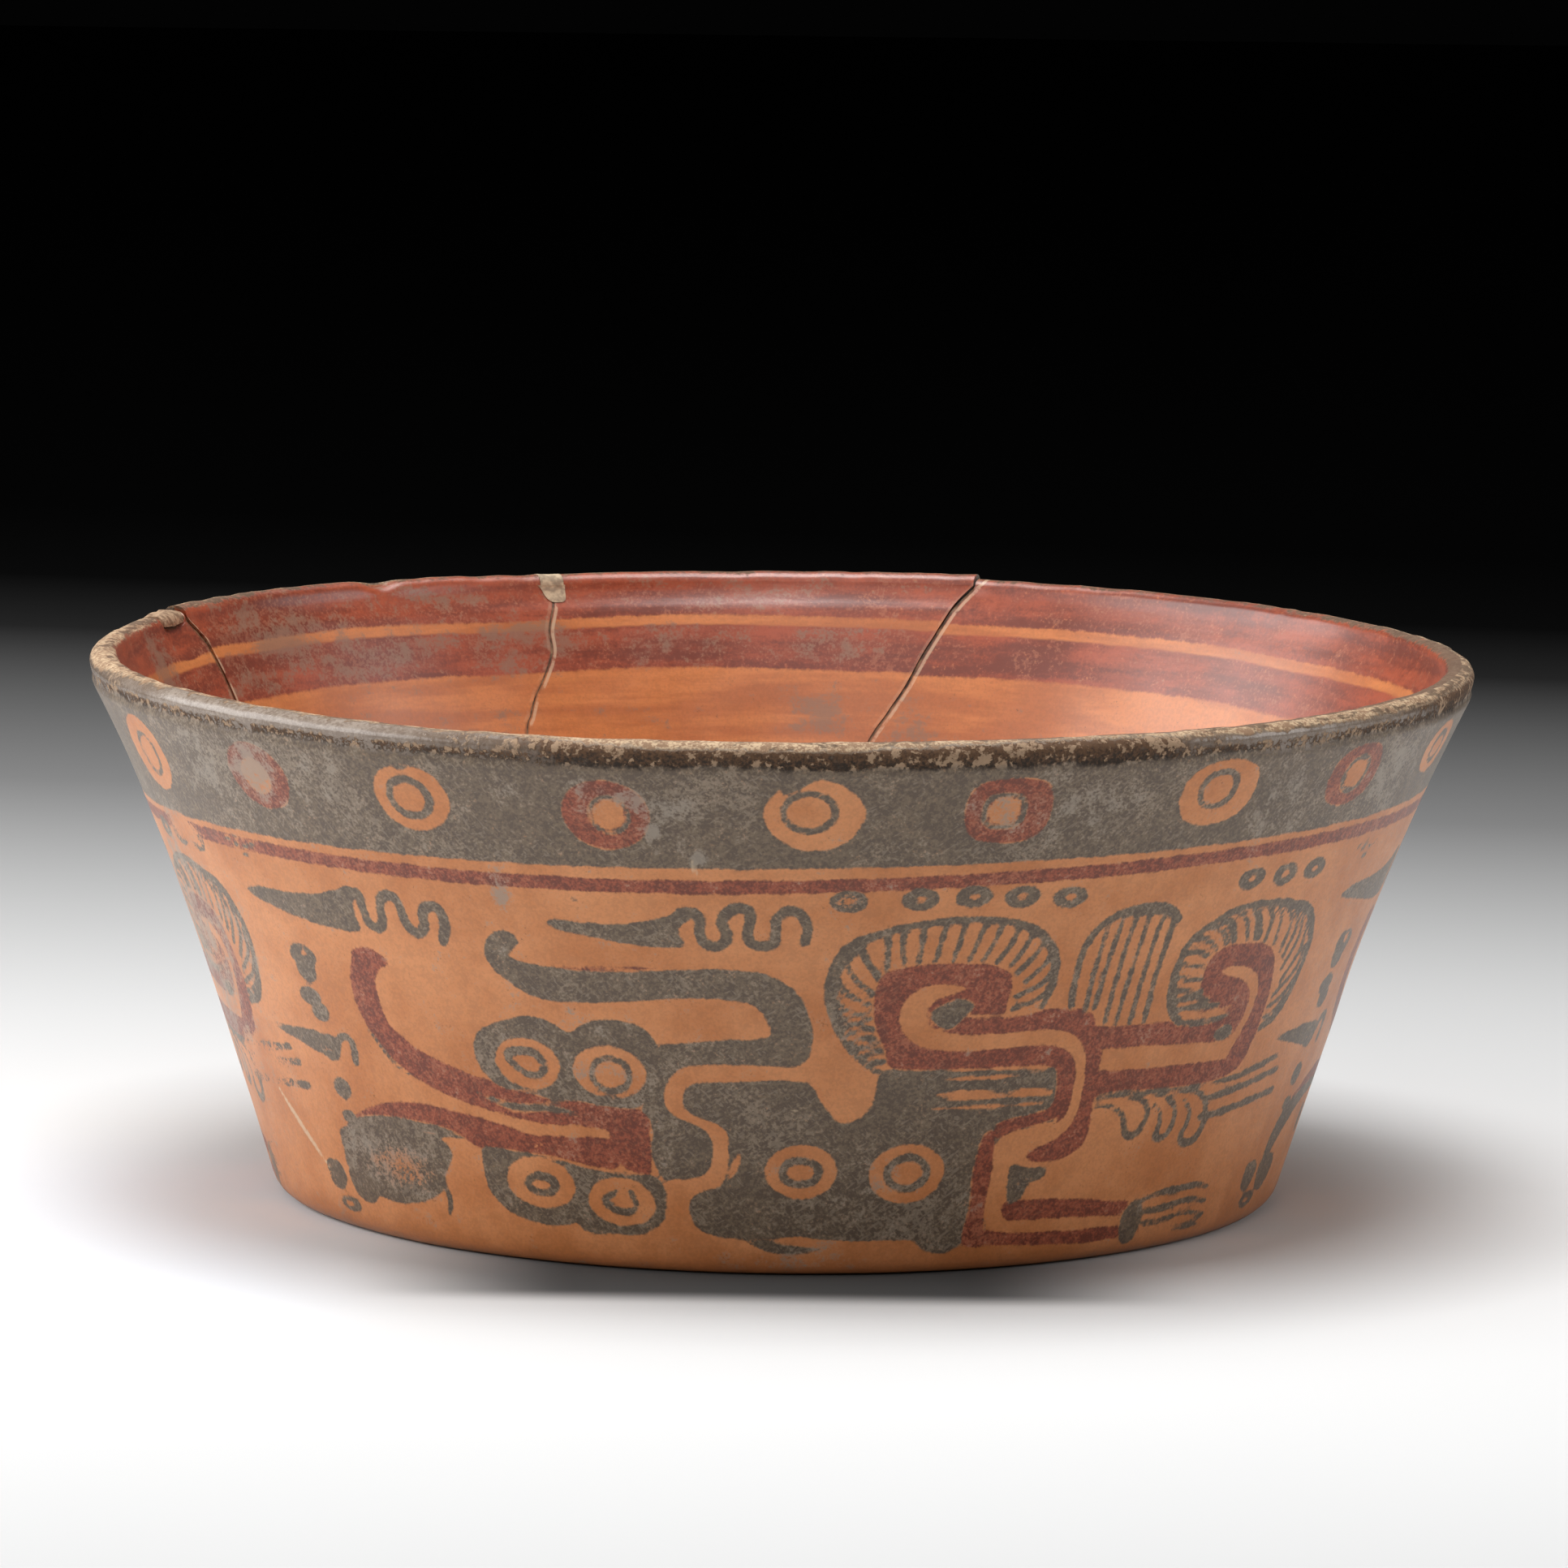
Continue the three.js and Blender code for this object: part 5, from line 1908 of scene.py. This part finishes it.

# Round the lip, each with its angle: the depth of the pale worn clay on the crown, the share of crust
# below it, whose low values also paint the roll lighter as a painted sheen, and the share of dark marks
# on the crown.

CROWN = ((-180, -0.5), (-104, 0.5), (-92, 1.3), (-80, 1.3), (-70, 0.5), (-60, -0.1), (-30, -0.1), (-20, 0.1),
         (-11, 1.0), (4, 1.2), (14, 0.5), (24, 0.1), (36, 0.8), (50, 1.2), (62, 1.3), (72, 0.8), (90, 0.8),
         (110, 0.1), (130, -0.5), (180, -0.5))
CRUST_AND_SHEEN = ((-180, 0.6), (-100, 0.4), (-78, 0.3), (-60, 0.0), (-34, 0.05), (-24, 0.4), (-14, 1.0), (28, 1.0),
          (38, 0.2), (58, 0.2), (70, 0.8), (88, 0.9), (110, 0.7), (180, 0.6))
GRUBBY = ((-180, 1.0), (-120, 0.9), (-96, 0.3), (-72, 0.4), (-50, 0.4), (-14, 0.2), (10, 0.3), (26, 0.6),
          (46, 0.8), (62, 0.8), (74, 1.4), (96, 1.4), (120, 1.0), (180, 1.0))
CROWN_INSIDE = ((0, 0.7), (100, 0.7), (135, 0.05), (180, 0.05))


def spread(spots: tuple[tuple[float, ...], ...], around: Array, slant: Array) -> Array:
    """Highest of some soft spots: amount times exp(-(angle / width)^2 - (slant / height)^2).

    Args:
        spots: The spots, each with its angle, slant, half width, half height and amount.
        around: Angles of the places.
        slant: Slants of the places.

    Returns:
        The highest amount at each place.
    """
    total = np.zeros(len(around))
    for angle, level, wide, high, amount in spots:
        turned = np.mod(around - angle + 180, 360) - 180
        total = np.maximum(total, amount * np.exp(-((turned / wide) ** 2) - ((slant - level) / high) ** 2))
    return total


def dress(piece: bpy.types.Object, points: Array, material: bpy.types.Material) -> None:
    """Gives a clay piece its painted fields and its finish.

    Args:
        piece: The piece.
        points: The six numbers of each of its points.
        material: The clay finish.
    """
    around, slant, side = points[:, 3], points[:, 4], points[:, 5]
    turned = np.mod(around + 180, 360) - 180
    outer = side < PAINTED_SHARE
    reach = Frieze.reach
    fields = {name: np.full(len(points), reach) for name in ("ink", "red", "bare")}
    for name, values in Frieze().paint(around[outer], slant[outer]).items():
        fields[name][outer] = np.clip(values, -reach, reach)
    beneath = points[:, 2] < 0.5
    for name in ("ink", "red"):
        fields[name][beneath] = reach
    inside = smooth(side, 0.4, 0.5)
    # Inside the field holds the stains; outside it holds the pale grey spots, at the left edge a painted
    # sheen.
    stain = spread(STAINED, around, slant) * inside + spread(WASHED_AND_SHEEN, around, slant) * (1 - inside)
    crown = np.interp(turned, *np.array(CROWN).T)
    crack = crack_distance(points)
    fields |= {
        "slant": slant,
        "inside": inside,
        "crack": crack,
        "near": np.minimum(np.abs(crack), CRACK_REACH),
        "fade": spread(WORN, around, slant) * (1 - inside),
        "stain": stain,
        "crown": crown + (np.interp(np.abs(turned), *np.array(CROWN_INSIDE).T) - crown) * inside,
        "crusty": np.interp(turned, *np.array(CRUST_AND_SHEEN).T),
        "grubby": np.interp(turned, *np.array(GRUBBY).T),
    }
    for name in FIELDS:
        layer = piece.data.attributes.new(name, "FLOAT", "POINT")
        layer.data.foreach_set("value", fields[name].astype(np.float32))
    finish(piece, material)


def finish(piece: bpy.types.Object, material: bpy.types.Material) -> None:
    """Smooth shading with hard edges past the sharp angle, and the material.

    Args:
        piece: The piece.
        material: Its material.
    """
    piece.data.materials.append(material)
    piece.data.shade_smooth()
    piece.data.set_sharp_from_angle(angle=SHARP_ANGLE)


# The set around the bowl

@dataclass(frozen=True)
class Lamp:
    """A soft rectangular lamp that points at the bowl. Its place and size are in metres."""

    name: str
    place: tuple[float, float, float]
    size: tuple[float, float]
    watts: float
    target: tuple[float, float, float] = (0, 0, 0.05)

    def build(self) -> None:
        """Adds the lamp, aimed at the middle of the bowl."""
        data = bpy.data.lights.new(self.name, "AREA")
        data.shape = "RECTANGLE"
        data.size, data.size_y = self.size
        data.energy = self.watts
        lamp = bpy.data.objects.new(self.name, data)
        bpy.context.scene.collection.objects.link(lamp)
        lamp.location = self.place
        aim = Vector(self.target) - Vector(self.place)
        lamp.rotation_euler = aim.to_track_quat("-Z", "Y").to_euler()


LAMPS = (
    Lamp("overhead_softbox", (-0.05, -0.06, 1.3), (0.8, 0.62), 14.8),
    Lamp("back_softbox", (0.0, 0.5, 1.3), (0.8, 0.6), 5.5),
    Lamp("left_softbox", (-1.1, 0.02, 0.52), (1.3, 0.7), 12.6),
    Lamp("right_softbox", (1.1, -0.1, 0.45), (0.6, 0.5), 3.0),
    Lamp("front_softbox", (-0.3, -1.05, 0.85), (0.9, 0.4), 2.2),
)


@dataclass(frozen=True)
class Stage:
    """A white table that falls into the dark behind the bowl, the camera and the lamps.

    Places are in metres. The fall gives the table's colour by the distance behind the bowl. A painted
    shadow, a dark patch, lies under the front of the base, and a painted light, a pale bluish patch, left
    of the bowl: each rises between the first two places of a direction and falls between the other two.
    """

    lens: float = 227.47
    sensor: float = 36.0
    camera: tuple[float, float, float] = (0.000654, -1.6, 0.2884)
    clip: Place = (0.05, 20.0)
    pitch: float = 0.138
    roll: float = 0.0132
    half: float = 3.0
    roughness: float = 0.9
    fall: tuple[tuple[float, str], ...] = (
        (-0.35, "#C6C6C6"), (-0.14, "#D8D8D8"), (0.0, "#DDDDDD"), (0.15, "#C4C4C4"), (0.3, "#A3A3A3"),
        (0.45, "#747474"), (0.6, "#505050"), (0.7, "#222222"), (0.8, "#0A0A0A"), (0.95, "#050505"),
    )
    fall_start: float = -0.5
    fall_length: float = 1.6
    fall_turn: Place = (0.17, 0.06)
    # Painted shadow: a dark patch on the table under the front of the base.
    shade: str = "#080808"
    shade_share: float = 0.85
    shade_half: Place = (0.07, 0.03)
    shade_y: tuple[Place, Place] = ((-0.106, -0.094), (0.0, -0.06))
    # Painted light: a pale bluish patch on the table left of the bowl, which lifts and cools the shadow
    # there.
    painted_light: str = "#E4EBF4"
    painted_light_share: float = 0.5
    painted_light_x: tuple[Place, Place] = ((-0.17, -0.11), (-0.05, -0.09))
    painted_light_y: tuple[Place, Place] = ((-0.16, -0.10), (0.06, -0.02))
    backdrop: str = "#030303"
    ambient: str = "#525252"

    def build(self) -> None:
        """Builds the table, the dark surroundings, the camera and the lamps."""
        self.build_floor()
        self.build_world()
        self.build_camera()
        for lamp in LAMPS:
            lamp.build()

    def build_floor(self) -> None:
        """The table top. Only the camera, mirrors and glass see its painted shadow, so the bowl loses no
        light.
        """
        mesh = bpy.data.meshes.new("table")
        h = self.half
        mesh.from_pydata([(-h, -h, 0), (h, -h, 0), (h, h, 0), (-h, h, 0)], [], [(0, 1, 2, 3)])
        floor = bpy.data.objects.new("table", mesh)
        bpy.context.scene.collection.objects.link(floor)
        s = Shader("white table into shade")
        x, y = s.add(X_OF, s.place), s.add(Y_OF, s.place)
        away = s.add(TIMES_PLUS, x, s.add(TIMES_PLUS, y, *self.fall_turn), y)
        table = s.add(RAMP, s.add(TIMES, s.add(MINUS, away, self.fall_start), 1 / self.fall_length))
        s.stops(table, tuple(((y - self.fall_start) / self.fall_length, code) for y, code in self.fall))
        # Painted light: the table is made paler and bluish left of the bowl, where the shadow falls.
        painted_light = s.add(TIMES, self.between(s, x, *self.painted_light_x), self.between(s, y, *self.painted_light_y))
        table = s.over(table, self.painted_light, painted_light, self.painted_light_share)
        # Painted shadow: the table is made dark under the front of the base, for camera, glossy and
        # transmission rays.
        beside = s.add(STEP, s.add(SIZE, x), *self.shade_half)
        shade = s.add(TIMES, beside, self.between(s, y, *self.shade_y))
        glossy = s.add(PLUS, s.add(GLOSSY_RAY), s.add(TRANSMISSION_RAY))
        seen = s.add(PLUS, s.add(CAMERA_RAY), glossy)
        table = s.over(table, self.shade, s.add(TIMES, shade, seen), self.shade_share)
        material = s.finish(Base_Color=table, Roughness=self.roughness, Specular_IOR_Level=0.0)
        floor.data.materials.append(material)

    def between(self, shader: Shader, value: Socket, rise: Place, fall: Place) -> Socket:
        """Share that rises from 0 to 1 between two places, and falls back between two others."""
        return shader.add(TIMES, shader.add(STEP, value, *rise), shader.add(STEP, value, *fall))

    def build_world(self) -> None:
        """Dark where the camera sees it, a dim even light elsewhere."""
        world = bpy.data.worlds.new("surroundings")
        world.use_nodes = True
        nodes = Nodes(world.node_tree)
        light = nodes.add(MIX, nodes.add(CAMERA_RAY), self.ambient, self.backdrop)
        nodes.tree.links.new(light, nodes.tree.nodes["Background"].inputs["Color"])
        bpy.context.scene.world = world

    def build_camera(self) -> None:
        """The camera that took the photo: long lens, a little above the rim."""
        data = bpy.data.cameras.new("photo_camera")
        data.lens = self.lens
        data.sensor_width = self.sensor
        data.clip_start, data.clip_end = self.clip
        camera = bpy.data.objects.new("photo_camera", data)
        bpy.context.scene.collection.objects.link(camera)
        turn = Matrix.Rotation(math.pi / 2 - self.pitch, 4, "X") @ Matrix.Rotation(self.roll, 4, "Z")
        camera.matrix_world = Matrix.Translation(self.camera) @ turn
        bpy.context.scene.camera = camera


def name_piece(piece: bpy.types.Object, count: int, slot: str, node: str) -> None:
    """Hides the node that a piece replaces, gives the piece its body, and reports it.

    Args:
        piece: The piece.
        count: Number of its points.
        slot: Its material slot. Not used.
        node: The node that it replaces.
    """
    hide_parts(node)
    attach(piece, BODY)
    LOG.info("%s: %d points", piece.name, count)


def main() -> None:
    """Builds the bowl's pieces in order, then the set."""
    logging.basicConfig(level=logging.INFO)
    bpy.context.scene.view_settings.view_transform = "Standard"
    clay = ClayShader(ClayFinish()).build()
    clay_parts = (
        MainBody(),
        Sherd("back_left_sherd", CENTRE_BREAK, LEFT_BREAK, 76),
        Sherd("back_centre_sherd", RIGHT_BREAK, CENTRE_BREAK, 68, lift_from=1.0, lift_to=0.0),
    )
    for part in clay_parts:
        piece, points = part.build()
        dress(piece, points, clay)
        name_piece(piece, len(points), "painted_clay", part.node)
    glue = plain_material(GLUE)
    for course in BREAKS:
        piece, points = GlueFilm(course).build()
        finish(piece, glue)
        name_piece(piece, len(points), "old_glue", f"{course.name}_glue_line")
    fills = (
        (CentreFill(), PALE_PUTTY, "pale_putty", "centre_rim_fill"),
        (LeftFill(), TAN_PUTTY, "tan_putty", "left_rim_fill"),
    )
    for fill, look, slot, node in fills:
        piece, points = fill.build()
        finish(piece, plain_material(look))
        name_piece(piece, len(points), slot, node)
    Stage().build()


if __name__ == "__main__":
    main()
